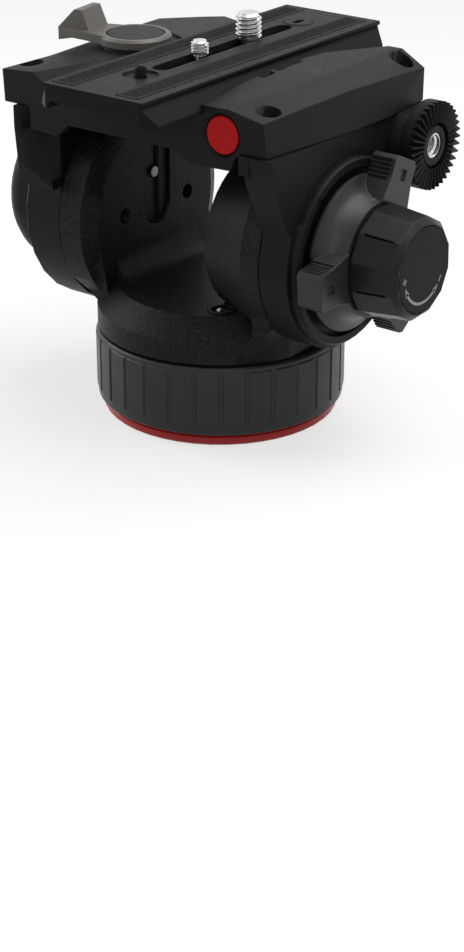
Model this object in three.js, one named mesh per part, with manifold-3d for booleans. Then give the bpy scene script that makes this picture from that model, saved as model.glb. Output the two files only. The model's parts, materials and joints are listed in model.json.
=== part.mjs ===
// Fluid video head, in millimetres. +Z is up, the lens side looks towards -Y, the pan axis is the
// Z axis and the face that meets the tripod lies on z = 0. The tilt axis runs along X.

import * as THREE from "three";
import { mergeVertices } from "three/addons/utils/BufferGeometryUtils.js";
import Module from "manifold-3d";

const wasm = await Module();
wasm.setup();

// Clearances, and the overrun that a cutter gets past a face
const SEAT_GAP = 0.3;
const RUN_GAP = 0.4;
const OVERRUN = 2;
const MERGE_DISTANCE = 0.0002;

// Sides of the round forms
const LARGE_SIDES = 44;
const MEDIUM_SIDES = 28;
const SMALL_SIDES = 16;
const TINY_SIDES = 10;
const ARC_STEPS = 4;

// Red trim ring round the foot
const RING_RADIUS = 44.2;
const RING_HEIGHT = 3.7;
const RING_WALL = 2.7;
const RING_ROUNDING = 0.7;

// Base housing: recess below for the adapter, cup above for the pan unit
const FOOT_FLANGE_RADIUS = 43.4;
const FOOT_FLANGE_THICKNESS = 0.45;
const HOUSING_TOP = 30.6;
const HOUSING_WALL = 6;
const RECESS_DEPTH = 9.2;
const HOUSING_FLOOR = 5;

// Ribbed pan drag ring
const COLLAR_RADIUS = 46.3;
const COLLAR_BORE_RADIUS = 40;
const COLLAR_BOTTOM = 4.75;
const COLLAR_TOP = 31;
const COLLAR_CHAMFER = 0.6;
const RIB_COUNT = 30;
const RIB_PHASE_DEG = 1.5;
const RIB_RAISE = 0.5;
const RIB_LOWER_MARGIN = 3.4;
const RIB_UPPER_MARGIN = 1.7;
const RIB_GROOVE = 1.1;
const RIB_CHAMFER = 0.45;

// Threaded bush and pan spindle on the pan axis
const BUSH_RADIUS = 8;
const SOCKET_RADIUS = 4.76;
const SOCKET_DEPTH = 9;
const BUSH_FLANGE_RADIUS = 11;
const BUSH_FLANGE_THICKNESS = 2.2;
const SPINDLE_RADIUS = 7;
const SPINDLE_FLANGE_RADIUS = 13;
const SPINDLE_FLANGE_THICKNESS = 2.6;
const ROTOR_THICKNESS = 6.5;
const BEARING_THICKNESS = 1.6;

// Toothed adapter ring seated in the recess of the base
const ADAPTER_RADIUS = 30;
const ADAPTER_FLANGE = 2.6;
const ADAPTER_TEETH = 60;
const ADAPTER_TOOTH_DEPTH = 1.5;
const ADAPTER_RIM_RADIUS = 27;
const ADAPTER_RIM_WALL = 2.2;
const ADAPTER_HEIGHT = 8.6;
const ADAPTER_TROUGH = 4.4;
const INSERT_RADIUS = 18.5;
const INSERT_BORE_RADIUS = 16.5;
const INSERT_LIFT = 0.6;
const INSERT_TOP = 8;
const PRONG_COUNT = 3;
const PRONG_PHASE_DEG = -25;
const PRONG_REACH = 23.8;
const PRONG_ROOT = 7.4;
const PRONG_THICKNESS = 2.6;
const SET_SCREW_RADIUS = 1.6;
const SET_SCREW_LENGTH = 2.4;
const SET_SCREW_HEIGHT = 6;

// Yoke: round base with flats at its sides and a chamfered shoulder
const YOKE_BOTTOM = 32.3;
const YOKE_RADIUS = 46;
const YOKE_BAND = 7.8;
const YOKE_SHOULDER = 7.8;
const YOKE_FLAT = 43.2;
const YOKE_HUB_RADIUS = 32;
const TILT_HEIGHT = 71.2;

// Left arm of the yoke, a round plate with a slot for the counterbalance
const LEFT_ARM_RADIUS = 40;
const LEFT_ARM_FACE_RADIUS = 33.3;
const LEFT_ARM_INNER = 30;
const LEFT_ARM_BEVEL = 3.4;
const LEFT_NECK_TOP_HALF = 32.4;
const LEFT_NECK_FOOT_HALF = 27;
const LEFT_NECK_TOP = 60;
const SLOT_WIDTH = 16;
const SLOT_DEPTH = 2.6;
const SLOT_STEP_WIDTH = 5;
const SLOT_STEP_DEPTH = 1.4;
const ARM_HOLE_RADIUS = 3;
const ARM_HOLE_DEPTH = 4;
const ARM_HOLE_SPACING = 37;
const ARM_FILLET = 9;
const FUNNEL_REACH = 62;

// Right arm of the yoke, the drum of the tilt fluid unit
const DRUM_RADIUS = 35.3;
const DRUM_NOSE_RADIUS = 29;
const DRUM_NOSE = 15.2;
const DRUM_SHOULDER = 35.4;
const DRUM_CAVITY_RADIUS = 26;
const DRUM_WALL = 4.6;
const FLUID_CUP_LENGTH = 8;
const FLUID_CUP_BORE = 12;
const ROTOR_HUB_RADIUS = 11;

// Bubble level sunk in the floor of the yoke
const LEVEL_X = 19.6;
const LEVEL_Y = -24.8;
const LEVEL_RADIUS = 5.2;
const LEVEL_WALL = 1.1;
const LEVEL_DEPTH = 5;
const VIAL_CROWN = 0.8;

// Screw in the slot of the left arm
const SLOT_SCREW_Y = 0.8;
const SLOT_SCREW_RISE = 12;
const SLOT_SCREW_RADIUS = 2.1;
const SLOT_SCREW_HEAD = 1.2;

// Pan lock at the back of the yoke
const LOCK_HEIGHT = 39.6;
const LOCK_BOSS_RADIUS = 6;
const LOCK_BOSS_REACH = 48.2;
const LOCK_STEM_RADIUS = 3;
const LOCK_STEM_DEPTH = 8;
const LOCK_KNOB_RADIUS = 8.4;
const LOCK_KNOB_LENGTH = 11;
const LOCK_KNOB_LOBES = 8;
const LOCK_LOBE_SHARE = 0.9;

// Left axle, its bush, the counterbalance spring and the round cap
const AXLE_RADIUS = 7;
const AXLE_BUSH_WALL = 1.8;
const AXLE_DEPTH = 7.4;
const AXLE_COLLAR_RADIUS = 10;
const AXLE_COLLAR = 2.4;
const CAP_RADIUS = 30;
const CAP_LENGTH = 20;
const CAP_WALL = 3.4;
const CAP_ROUND_SHARE = 0.3;
const SPRING_RADIUS = 22;
const SPRING_BORE_RADIUS = 12;
const SPRING_LENGTH = 9;

// Cheeks, the side plates that carry the platform
const CHEEK_INNER = 43.8;
const CHEEK_OUTER_LEFT = 61;
const CHEEK_OUTER_RIGHT = 55.6;
const CHEEK_RADIUS_LEFT = 39.8;
const CHEEK_RADIUS_RIGHT = 35.5;
const CHEEK_EDGE = 1.6;
const CHEEK_FRONT = 44.4;
const CHEEK_REAR = 48.4;
const CHEEK_LUG_BOTTOM = 105.6;
const LUG_REACH_RIGHT = 41.6;
const LUG_DEPTH = 14;
const LUG_BOTTOM_RIGHT = 107.4;
const LIP_RADIUS = 34;
const LIP_BORE_RADIUS = 30.6;
const LIP_REACH = 58.4;
const SLEEVE_RADIUS = 16.6;
const SLEEVE_REACH = 69.6;
const STEM_RADIUS = 6;

// Platform casting
const SEAM_HEIGHT = 114.4;
const DECK_TOP = 125.2;
const DECK_UNDERSIDE = 117.6;
const ROOF_RISE = 18.2;
const BODY_FRONT = 43;
const BODY_REAR = 48.8;
const RIGHT_REACH = 57;
const LEFT_REACH = 65.6;
const JAW_RIGHT = 25.9;
const JAW_LEFT = 26.3;
const JAW_LIP = 1.2;
const JAW_LIP_HEIGHT = 3;
const RELIEF_HALF = 23.6;
const RELIEF_REAR = 39.4;
const SKIRT_THICKNESS = 4.5;
const SKIRT_LEFT = 53;
const SKIRT_RIGHT = 41.2;
const SKIRT_DROP = 8.8;
const BOX_WALL = 5;

// Windows in the inner edge of the right roof
const WINDOW_DEPTH = 2.6;
const WINDOW_DROP = 2.4;
const WINDOW_SHORT = 7;
const WINDOW_LONG = 15;
const WINDOW_SHORT_Y = -9;
const WINDOW_LONG_Y = 4;

// Hub pad and rear shoulder on the left roof
const HUB_X = -38.7;
const HUB_PAD_RADIUS = 12.6;
const HUB_PAD_TOP = 130.9;
const SHOULDER_TOP = 132;

// Badge disc on the front
const BADGE_X = 33.5;
const BADGE_HEIGHT = 119.2;
const BADGE_RADIUS = 6.6;
const BADGE_THICKNESS = 1.2;
const BADGE_BEVEL = 1.4;

// Casing screws, one at each corner of the platform
const CASING_HEAD_RADIUS = 3.4;
const CASING_HEAD_HEIGHT = 3.4;
const CASING_SHANK_RADIUS = 1.9;
const CASING_SHANK_LENGTH = 13;
const COUNTERBORE_RADIUS = 4.5;
const CASING_SEAT = 120.4;
const HEX_KEY_RADIUS = 1.7;
const CASING_FRONT_Y = -33.6;
const CASING_REAR_Y = 42.4;
const CASING_FRONT_RIGHT_X = 46;
const CASING_REAR_RIGHT_X = 49;
const CASING_FRONT_LEFT_X = -59.6;
const CASING_REAR_LEFT_X = -54.6;

// Rosettes for the pan bar
const ROSETTE_Y = 37.7;
const ROSETTE_HEIGHT = 102.4;
const ROSETTE_RADIUS = 16;
const ROSETTE_INNER_RADIUS = 8.4;
const ROSETTE_TEETH = 40;
const ROSETTE_RIDGE = 1.5;
const ROSETTE_THICKNESS = 6;
const ROSETTE_REACH = 68.3;
const ROSETTE_BOSS_RADIUS = 14;
const ROSETTE_HUB_RADIUS = 6.4;
const ROSETTE_HUB_DROP = 1.2;
const NUT_RADIUS = 4.5;
const NUT_BORE_RADIUS = 3.3;
const NUT_LENGTH = 9;

// Tilt lock ring
const LOCK_RING_RADIUS = 28.2;
const LOCK_RING_BACK = 59.2;
const LOCK_RING_FLANGE = 1.2;
const LOCK_RING_FRONT = 69.9;
const LOCK_RING_NECK = 21.1;
const WING_COUNT = 3;
const WING_PHASE_DEG = 65;
const WING_REACH = 36;
const WING_HALF = 7;
const WING_BACK = 60.4;
const WING_FRONT = 70.4;
const WING_RIBS = 5;
const WING_RIB_DEPTH = 0.7;
const WING_RIB_WIDTH = 1;

// Tilt drag knob
const KNOB_SIDES = 12;
const KNOB_PHASE_DEG = 17;
const KNOB_ROOT_RADIUS = 20.3;
const KNOB_RIM_RADIUS = 18.6;
const KNOB_FACE_RADIUS = 16.6;
const KNOB_BACK = 70.8;
const KNOB_RIM = 86.4;
const KNOB_FRONT = 88.4;
const KNOB_GROOVE = 0.8;
const KNOB_GROOVE_DEPTH = 0.7;
const KNOB_DISC_RADIUS = 15.4;
const KNOB_DISC_THICKNESS = 1.2;
const KNOB_STEM_LENGTH = 26;

// Clamp lever, its cap and post, and the jaw that it moves
const LEVER_HUB_RADIUS = 12.5;
const LEVER_SKIRT_RADIUS = 13.3;
const LEVER_BOTTOM = 131.3;
const LEVER_TOP = 134.7;
const LEVER_CAP_RADIUS = 10.6;
const LEVER_CAP_DEPTH = 1.6;
const LEVER_ARM_REACH = 29.4;
const LEVER_ARM_ROOT_HALF = 8.4;
const LEVER_ARM_TIP_HALF = 6.4;
const LEVER_ARM_THICKNESS = 3.2;
const LEVER_TAB_REACH = 13.4;
const LEVER_TAB_LOW = 127;
const LEVER_TAB_TOP = 141.8;
const LEVER_TAB_THICKNESS = 6.2;
const LEVER_TURN_DEG = 8;
const POST_RADIUS = 4;
const POST_DEPTH = 5;
const CLAMP_JAW_LENGTH = 26;
const CLAMP_JAW_WIDTH = 5.4;
const CLAMP_JAW_HEIGHT = 2.6;
const CLAMP_TRAVEL = 1.5;

// Sliding camera plate
const PLATE_LENGTH = 140;
const PLATE_TOP = 134.2;
const PLATE_TOP_HALF = 21.6;
const PLATE_FOOT_HALF = 25.4;
const PLATE_EDGE = 1.4;
const PLATE_GROOVE = 1;
const PLATE_FOOT_EDGE = 1;
const PLATE_WEB_BOTTOM = 128.2;
const PLATE_FOOT_BOTTOM = 125.6;
const PLATE_FOOT_INNER = 19.6;
const PLATE_END_CHAMFER = 5;
const PLATE_MIDDLE_X = -1.4;
const SLOT_HALF = 3.5;
const PLATE_SLOT_FRONT = -31;
const PLATE_SLOT_REAR = 43.6;
const SLOT_LEDGE = 2.2;
const SLOT_LEDGE_DEPTH = 2.6;
const STRIP_LENGTH = 134;
const STRIP_WIDTH = 9.2;
const STRIP_SINK = 0.8;
const STRIP_PROUD = 0.4;
const STRIP_OFFSET = 14;

// Camera screws with their sliding washers
const BIG_SCREW_Y = 18.9;
const BIG_SCREW_RADIUS = 4.7;
const BIG_SCREW_TOP = 144;
const BIG_HEAD_RADIUS = 7.4;
const SMALL_SCREW_Y = -9.7;
const SMALL_SCREW_RADIUS = 3.1;
const SMALL_SCREW_TOP = 139.6;
const SMALL_HEAD_RADIUS = 5.4;
const SCREW_HEAD_HEIGHT = 3;
const SCREW_KEY_WIDTH = 1.4;
const SCREW_KEY_DEPTH = 1;
const SCREW_THREAD_RELIEF = 0.6;
const WASHER_THICKNESS = 1.2;
const WASHER_RADIUS = 5.8;

// Sprung video pin and the bush behind the slot
const PIN_Y = -42.5;
const PIN_RADIUS = 2.1;
const PIN_TOP = 137.6;
const PIN_FLANGE_RADIUS = 3.6;
const PIN_FLANGE = 1.2;
const PIN_TRAVEL = 3;
const PIN_DISH_RADIUS = 6.4;
const PIN_DISH_DEPTH = 0.8;
const END_BUSH_Y = 49.7;
const END_BUSH_RADIUS = 5.6;
const END_BUSH_DEPTH = 3.4;
const END_BUSH_PROUD = 0.3;
const END_BUSH_HOLE_HALF = 3;
const END_BUSH_HOLE_RADIUS = 1.3;

// Worked-out places
const FLOOR = YOKE_BOTTOM + YOKE_BAND + YOKE_SHOULDER;
const HOUSING_RADIUS = COLLAR_BORE_RADIUS - RUN_GAP;
const CUP_RADIUS = HOUSING_RADIUS - HOUSING_WALL;
const CUP_FLOOR = RECESS_DEPTH + HOUSING_FLOOR;
const SPINDLE_BOTTOM = CUP_FLOOR + SEAT_GAP + BUSH_FLANGE_THICKNESS + SEAT_GAP;
const ROTOR_BOTTOM = SPINDLE_BOTTOM + RUN_GAP;
const SPINDLE_FLANGE_BOTTOM = ROTOR_BOTTOM + ROTOR_THICKNESS + RUN_GAP;
const SPINDLE_TOP = SPINDLE_FLANGE_BOTTOM + SPINDLE_FLANGE_THICKNESS;
const ROTOR_RADIUS = CUP_RADIUS - RUN_GAP;
const LEFT_ARM_OUTER = YOKE_FLAT;
const DRUM_CAVITY_BACK = DRUM_NOSE + DRUM_WALL;
const LUG_TOP = SEAM_HEIGHT - SEAT_GAP;
const PLATE_BORE_X = PLATE_MIDDLE_X;
const WASHER_TOP = PLATE_TOP - SLOT_LEDGE_DEPTH - SEAT_GAP;

// Finishes
const finish = (color, roughness, metalness = 0) =>
  new THREE.MeshStandardMaterial({ color, roughness, metalness });
const blackPlastic = finish(0x1b1b1c, 0.55);
const blackCasting = finish(0x222224, 0.62, 0.2);
const platformGrey = finish(0x38383a, 0.5, 0.1);
const plateBlack = finish(0x18181a, 0.45, 0.3);
const rubber = finish(0x2c2c2e, 0.9);
const redPaint = finish(0xb3201c, 0.35);
const titanium = finish(0x6f6f70, 0.42, 0.6);
const steel = finish(0xc9cdd0, 0.28, 1);
const aluminium = finish(0xb9babb, 0.4, 0.9);
const bronze = finish(0xa5834f, 0.4, 0.8);
const glass = finish(0xb8d06a, 0.1);

// A closed geometry as a solid; its faces are turned outwards first
function solid(geometry) {
  const bare = new THREE.BufferGeometry();
  bare.setAttribute("position", geometry.getAttribute("position"));
  if (geometry.index) bare.setIndex(geometry.index);
  const merged = mergeVertices(bare, MERGE_DISTANCE);
  const place = merged.getAttribute("position");
  const corners = [new THREE.Vector3(), new THREE.Vector3(), new THREE.Vector3()];
  const faces = [];
  let sixVolumes = 0;
  for (let i = 0; i < merged.index.count; i += 3) {
    const [a, b, c] = [0, 1, 2].map((k) => merged.index.getX(i + k));
    if (a === b || b === c || c === a) continue;
    [a, b, c].forEach((vertex, k) => corners[k].fromBufferAttribute(place, vertex));
    sixVolumes += corners[0].dot(corners[1].clone().cross(corners[2]));
    faces.push(a, b, c);
  }
  if (sixVolumes < 0) faces.reverse();
  return new wasm.Manifold(
    new wasm.Mesh({
      numProp: 3,
      vertProperties: new Float32Array(place.array),
      triVerts: new Uint32Array(faces),
    }),
  );
}

// The model's axes that the local third axis of a form can follow
const FRAMES = {
  x: new THREE.Matrix4().set(0, 0, 1, 0, 1, 0, 0, 0, 0, 1, 0, 0, 0, 0, 0, 1),
  y: new THREE.Matrix4().set(1, 0, 0, 0, 0, 0, -1, 0, 0, 1, 0, 0, 0, 0, 0, 1),
  z: new THREE.Matrix4(),
};

const radians = THREE.MathUtils.degToRad;
const join = (first, ...others) => others.reduce((whole, piece) => whole.add(piece), first);
const cut = (first, ...others) => others.reduce((whole, piece) => whole.subtract(piece), first);

// A profile of [radius, height] points turned about the x, y or z axis
function turned(profile, axis = "z", sides = LARGE_SIDES, start = 0) {
  const points = profile.map(([radius, height]) => new THREE.Vector2(radius, height));
  const onAxis = profile[0][0] === 0 && profile.at(-1)[0] === 0;
  if (!onAxis) points.push(points[0].clone());
  const geometry = new THREE.LatheGeometry(points, sides, start);
  return solid(geometry.rotateX(Math.PI / 2).applyMatrix4(FRAMES[axis]));
}

// A round bar or, with a bore, a tube between two heights on the axis
function bar(radius, low, high, axis = "z", sides = SMALL_SIDES, bore = 0) {
  return turned([[bore, low], [radius, low], [radius, high], [bore, high]], axis, sides);
}

// An outline drawn across the axis and carried from one height to the other.
// On the y axis the outline is drawn in x and z.
function carried(outline, low, high, axis = "z") {
  const shape = outline.isShape ? outline : shapeOf(outline);
  const geometry = new THREE.ExtrudeGeometry(shape, {
    depth: high - low,
    bevelEnabled: false,
    curveSegments: ARC_STEPS,
  });
  geometry.translate(0, 0, axis === "y" ? -high : low);
  return solid(geometry.applyMatrix4(FRAMES[axis]));
}

function shapeOf(outline) {
  return new THREE.Shape(outline.map(([u, v]) => new THREE.Vector2(u, v)));
}

function block(x, y, z) {
  const geometry = new THREE.BoxGeometry(x[1] - x[0], y[1] - y[0], z[1] - z[0]);
  return solid(geometry.translate((x[0] + x[1]) / 2, (y[0] + y[1]) / 2, (z[0] + z[1]) / 2));
}

// A solid between rings of points, each ring a list of [x, y, z] with as many points
function lofted(rings) {
  const count = rings[0].length;
  const faces = [];
  for (let r = 0; r + 1 < rings.length; r++)
    for (let i = 0; i < count; i++) {
      const [a, b] = [r * count + i, r * count + ((i + 1) % count)];
      faces.push(a, b, b + count, a, b + count, a + count);
    }
  const last = (rings.length - 1) * count;
  for (const [a, b, c] of capOf(rings[0])) faces.push(a, c, b);
  for (const [a, b, c] of capOf(rings.at(-1))) faces.push(last + a, last + b, last + c);
  const geometry = new THREE.BufferGeometry();
  geometry.setAttribute("position", new THREE.Float32BufferAttribute(rings.flat(2), 3));
  geometry.setIndex(faces);
  return solid(geometry);
}

// Triangles over a flat ring, which the caller draws anticlockwise seen from the last ring
function capOf(ring) {
  const points = ring.map((p) => new THREE.Vector3(...p));
  const origin = points[0];
  const normal = new THREE.Vector3();
  points.forEach((p, i) => {
    const next = points[(i + 1) % points.length];
    normal.add(p.clone().sub(origin).cross(next.clone().sub(origin)));
  });
  normal.normalize();
  const side = points[1].clone().sub(origin).normalize();
  const up = normal.clone().cross(side);
  const flat = points.map((p) => {
    const offset = p.clone().sub(origin);
    return new THREE.Vector2(offset.dot(side), offset.dot(up));
  });
  return THREE.ShapeUtils.triangulateShape(flat, []);
}

// A solid turned or moved by a matrix
function placed(piece, matrix) {
  const { vertProperties, triVerts } = piece.getMesh();
  const geometry = new THREE.BufferGeometry();
  geometry.setAttribute("position", new THREE.Float32BufferAttribute(vertProperties, 3));
  geometry.setIndex([...triVerts]);
  return solid(geometry.applyMatrix4(matrix));
}

const moved = (piece, x, y, z) => placed(piece, new THREE.Matrix4().makeTranslation(x, y, z));
const spunAboutZ = (piece, degrees) =>
  placed(piece, new THREE.Matrix4().makeRotationZ(radians(degrees)));
const spunAboutX = (piece, degrees) =>
  placed(piece, new THREE.Matrix4().makeRotationX(radians(degrees)));

function mesh(name, piece, material) {
  const { vertProperties, triVerts } = piece.getMesh();
  const geometry = new THREE.BufferGeometry();
  geometry.setAttribute("position", new THREE.Float32BufferAttribute(vertProperties, 3));
  geometry.setIndex([...triVerts]);
  const flat = geometry.toNonIndexed();
  flat.computeVertexNormals();
  const made = new THREE.Mesh(flat, material);
  made.name = name;
  return made;
}

function group(place, ...children) {
  const made = new THREE.Group();
  made.position.set(...place);
  made.add(...children);
  return made;
}

// One point of a circle about the origin
function polar(radius, degrees) {
  return [radius * Math.cos(radians(degrees)), radius * Math.sin(radians(degrees))];
}

// Points of an arc about a centre, both ends included
function arc(u, v, radius, fromDeg, toDeg, steps = ARC_STEPS) {
  return Array.from({ length: steps + 1 }, (_, i) => {
    const angle = radians(fromDeg + ((toDeg - fromDeg) * i) / steps);
    return [u + radius * Math.cos(angle), v + radius * Math.sin(angle)];
  });
}

// Base

function redRing() {
  const [outer, inner] = [RING_RADIUS, RING_RADIUS - RING_WALL];
  return turned([
    [inner, 0],
    [outer - RING_ROUNDING, 0],
    [outer, RING_ROUNDING],
    [outer, RING_HEIGHT - RING_ROUNDING],
    [outer - RING_ROUNDING, RING_HEIGHT],
    [inner, RING_HEIGHT],
  ]);
}

function baseHousing() {
  const spigot = RING_RADIUS - RING_WALL - SEAT_GAP;
  const recess = ADAPTER_RADIUS + SEAT_GAP;
  const flangeBottom = RING_HEIGHT + SEAT_GAP;
  const flangeTop = flangeBottom + FOOT_FLANGE_THICKNESS;
  return turned([
    [recess, 0],
    [spigot, 0],
    [spigot, flangeBottom],
    [FOOT_FLANGE_RADIUS, flangeBottom],
    [FOOT_FLANGE_RADIUS, flangeTop],
    [HOUSING_RADIUS, flangeTop],
    [HOUSING_RADIUS, HOUSING_TOP],
    [CUP_RADIUS, HOUSING_TOP],
    [CUP_RADIUS, CUP_FLOOR],
    [BUSH_RADIUS + SEAT_GAP, CUP_FLOOR],
    [BUSH_RADIUS + SEAT_GAP, RECESS_DEPTH],
    [recess, RECESS_DEPTH],
  ], "z", MEDIUM_SIDES);
}

function mountBush() {
  const flangeBottom = CUP_FLOOR + SEAT_GAP;
  const top = flangeBottom + BUSH_FLANGE_THICKNESS;
  return turned(
    [
      [0, RECESS_DEPTH + SOCKET_DEPTH - BUSH_FLANGE_THICKNESS],
      [SOCKET_RADIUS, RECESS_DEPTH + SOCKET_DEPTH - BUSH_FLANGE_THICKNESS],
      [SOCKET_RADIUS, RECESS_DEPTH],
      [BUSH_RADIUS, RECESS_DEPTH],
      [BUSH_RADIUS, flangeBottom],
      [BUSH_FLANGE_RADIUS, flangeBottom],
      [BUSH_FLANGE_RADIUS, top],
      [0, top],
    ],
    "z",
    SMALL_SIDES,
  );
}

function panSpindle() {
  return turned(
    [
      [0, SPINDLE_BOTTOM],
      [SPINDLE_RADIUS, SPINDLE_BOTTOM],
      [SPINDLE_RADIUS, SPINDLE_FLANGE_BOTTOM],
      [SPINDLE_FLANGE_RADIUS, SPINDLE_FLANGE_BOTTOM],
      [SPINDLE_FLANGE_RADIUS, SPINDLE_TOP],
      [0, SPINDLE_TOP],
    ],
    "z",
    SMALL_SIDES,
  );
}

// One raised rib of the drag ring, chamfered on its four sides
function collarRib(middleDeg) {
  const pitch = 360 / RIB_COUNT;
  const low = COLLAR_BOTTOM + RIB_LOWER_MARGIN;
  const high = COLLAR_TOP - RIB_UPPER_MARGIN;
  const ring = (radius, inset) => {
    const half = pitch / 2 - THREE.MathUtils.radToDeg((RIB_GROOVE / 2 + inset) / COLLAR_RADIUS);
    const at = (degrees, z) => {
      const angle = radians(middleDeg + degrees);
      return [radius * Math.cos(angle), radius * Math.sin(angle), z];
    };
    const [bottom, top] = [low + inset, high - inset];
    return [at(-half, bottom), at(0, bottom), at(half, bottom), at(half, top), at(0, top), at(-half, top)];
  };
  const sunk = COLLAR_RADIUS - RIB_RAISE - RIB_RAISE;
  return lofted([
    ring(sunk, 0),
    ring(COLLAR_RADIUS + RIB_RAISE - RIB_CHAMFER, 0),
    ring(COLLAR_RADIUS + RIB_RAISE, RIB_CHAMFER),
  ]);
}

function panDragRing() {
  const sides = RIB_COUNT * 2;
  const sleeve = turned(
    [
      [COLLAR_BORE_RADIUS, COLLAR_BOTTOM],
      [COLLAR_RADIUS - COLLAR_CHAMFER, COLLAR_BOTTOM],
      [COLLAR_RADIUS, COLLAR_BOTTOM + COLLAR_CHAMFER],
      [COLLAR_RADIUS, COLLAR_TOP - COLLAR_CHAMFER],
      [COLLAR_RADIUS - COLLAR_CHAMFER, COLLAR_TOP],
      [COLLAR_BORE_RADIUS, COLLAR_TOP],
    ],
    "z",
    sides,
    radians(RIB_PHASE_DEG),
  );
  const ribs = Array.from({ length: RIB_COUNT }, (_, i) =>
    collarRib(RIB_PHASE_DEG + (i * 360) / RIB_COUNT),
  );
  return join(sleeve, ...ribs);
}

// Adapter ring

function adapterRing() {
  const step = 360 / ADAPTER_TEETH;
  const outline = [];
  for (let i = 0; i < ADAPTER_TEETH; i++) {
    outline.push(...arc(0, 0, ADAPTER_RADIUS, i * step, i * step + step / 3, 1));
    outline.push(polar(ADAPTER_RADIUS - ADAPTER_TOOTH_DEPTH, (i + 2 / 3) * step));
  }
  const flange = carried(outline, 0, ADAPTER_FLANGE);
  const rim = turned([
    [INSERT_RADIUS + SEAT_GAP, 0],
    [ADAPTER_RIM_RADIUS, 0],
    [ADAPTER_RIM_RADIUS, ADAPTER_HEIGHT],
    [ADAPTER_RIM_RADIUS - ADAPTER_RIM_WALL, ADAPTER_HEIGHT],
    [ADAPTER_RIM_RADIUS - ADAPTER_RIM_WALL, ADAPTER_TROUGH],
    [INSERT_RADIUS + SEAT_GAP, ADAPTER_TROUGH],
  ], "z", MEDIUM_SIDES);
  const bore = bar(INSERT_RADIUS + SEAT_GAP, -OVERRUN, ADAPTER_HEIGHT, "z", MEDIUM_SIDES);
  const screwHole = spunAboutZ(
    moved(
      bar(SET_SCREW_RADIUS + SEAT_GAP, ADAPTER_RIM_RADIUS - SET_SCREW_LENGTH, ADAPTER_RADIUS, "x", TINY_SIDES),
      0, 0, SET_SCREW_HEIGHT,
    ),
    PRONG_PHASE_DEG,
  );
  return cut(join(rim, cut(flange, bore)), screwHole);
}

function adapterInsert() {
  const ring = bar(INSERT_RADIUS, INSERT_LIFT, INSERT_TOP, "z", MEDIUM_SIDES, INSERT_BORE_RADIUS);
  const root = (INSERT_RADIUS + INSERT_BORE_RADIUS) / 2;
  const prong = carried(
    [[root, -PRONG_ROOT], [PRONG_REACH, -PRONG_ROOT / 6], [PRONG_REACH, PRONG_ROOT / 6], [root, PRONG_ROOT]],
    INSERT_TOP - PRONG_THICKNESS,
    INSERT_TOP,
  );
  const prongs = Array.from({ length: PRONG_COUNT }, (_, i) =>
    spunAboutZ(prong, PRONG_PHASE_DEG + (i * 360) / PRONG_COUNT),
  );
  return join(ring, ...prongs);
}

function adapterSetScrew() {
  const screw = bar(
    SET_SCREW_RADIUS,
    ADAPTER_RIM_RADIUS - SET_SCREW_LENGTH + SEAT_GAP,
    ADAPTER_RIM_RADIUS + SEAT_GAP,
    "x",
    TINY_SIDES,
  );
  return spunAboutZ(moved(screw, 0, 0, SET_SCREW_HEIGHT), PRONG_PHASE_DEG);
}

// Yoke

// Round foot of the yoke with its hub below and its shoulder above
function yokeFoot() {
  const hubBore = SPINDLE_FLANGE_RADIUS + RUN_GAP;
  const hubBottom = ROTOR_BOTTOM + ROTOR_THICKNESS + SEAT_GAP;
  const boreTop = SPINDLE_TOP + RUN_GAP + BEARING_THICKNESS + SEAT_GAP;
  const foot = turned([
    [0, boreTop],
    [hubBore, boreTop],
    [hubBore, hubBottom],
    [YOKE_HUB_RADIUS, hubBottom],
    [YOKE_HUB_RADIUS, YOKE_BOTTOM],
    [YOKE_RADIUS, YOKE_BOTTOM],
    [YOKE_RADIUS, YOKE_BOTTOM + YOKE_BAND],
    [YOKE_RADIUS - YOKE_SHOULDER, FLOOR],
    [0, FLOOR],
  ]);
  return foot;
}

// Left arm: round plate, neck down to the foot and a fillet at the floor
function leftArm() {
  const plate = moved(
    turned(
      [
        [0, -LEFT_ARM_OUTER],
        [LEFT_ARM_RADIUS, -LEFT_ARM_OUTER],
        [LEFT_ARM_RADIUS, -LEFT_ARM_INNER - LEFT_ARM_BEVEL],
        [LEFT_ARM_FACE_RADIUS, -LEFT_ARM_INNER],
        [0, -LEFT_ARM_INNER],
      ],
      "x",
    ),
    0, 0, TILT_HEIGHT,
  );
  const neck = carried(
    [
      [-LEFT_NECK_FOOT_HALF, YOKE_BOTTOM],
      [LEFT_NECK_FOOT_HALF, YOKE_BOTTOM],
      [LEFT_NECK_TOP_HALF, LEFT_NECK_TOP],
      [-LEFT_NECK_TOP_HALF, LEFT_NECK_TOP],
    ],
    -LEFT_ARM_OUTER,
    -LEFT_ARM_INNER,
    "x",
  );
  return join(plate, neck);
}

// Concave fillet between the left arm's face and the floor
function armFillet() {
  const half = Math.sqrt((YOKE_RADIUS - YOKE_SHOULDER) ** 2 - LEFT_ARM_INNER ** 2);
  const outline = [
    [-LEFT_ARM_INNER - OVERRUN, FLOOR - OVERRUN],
    [-LEFT_ARM_INNER + ARM_FILLET, FLOOR - OVERRUN],
    ...arc(-LEFT_ARM_INNER + ARM_FILLET, FLOOR + ARM_FILLET, ARM_FILLET, 270, 180),
    [-LEFT_ARM_INNER - OVERRUN, FLOOR + ARM_FILLET],
  ];
  return carried(outline, -half, half, "y");
}

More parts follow.
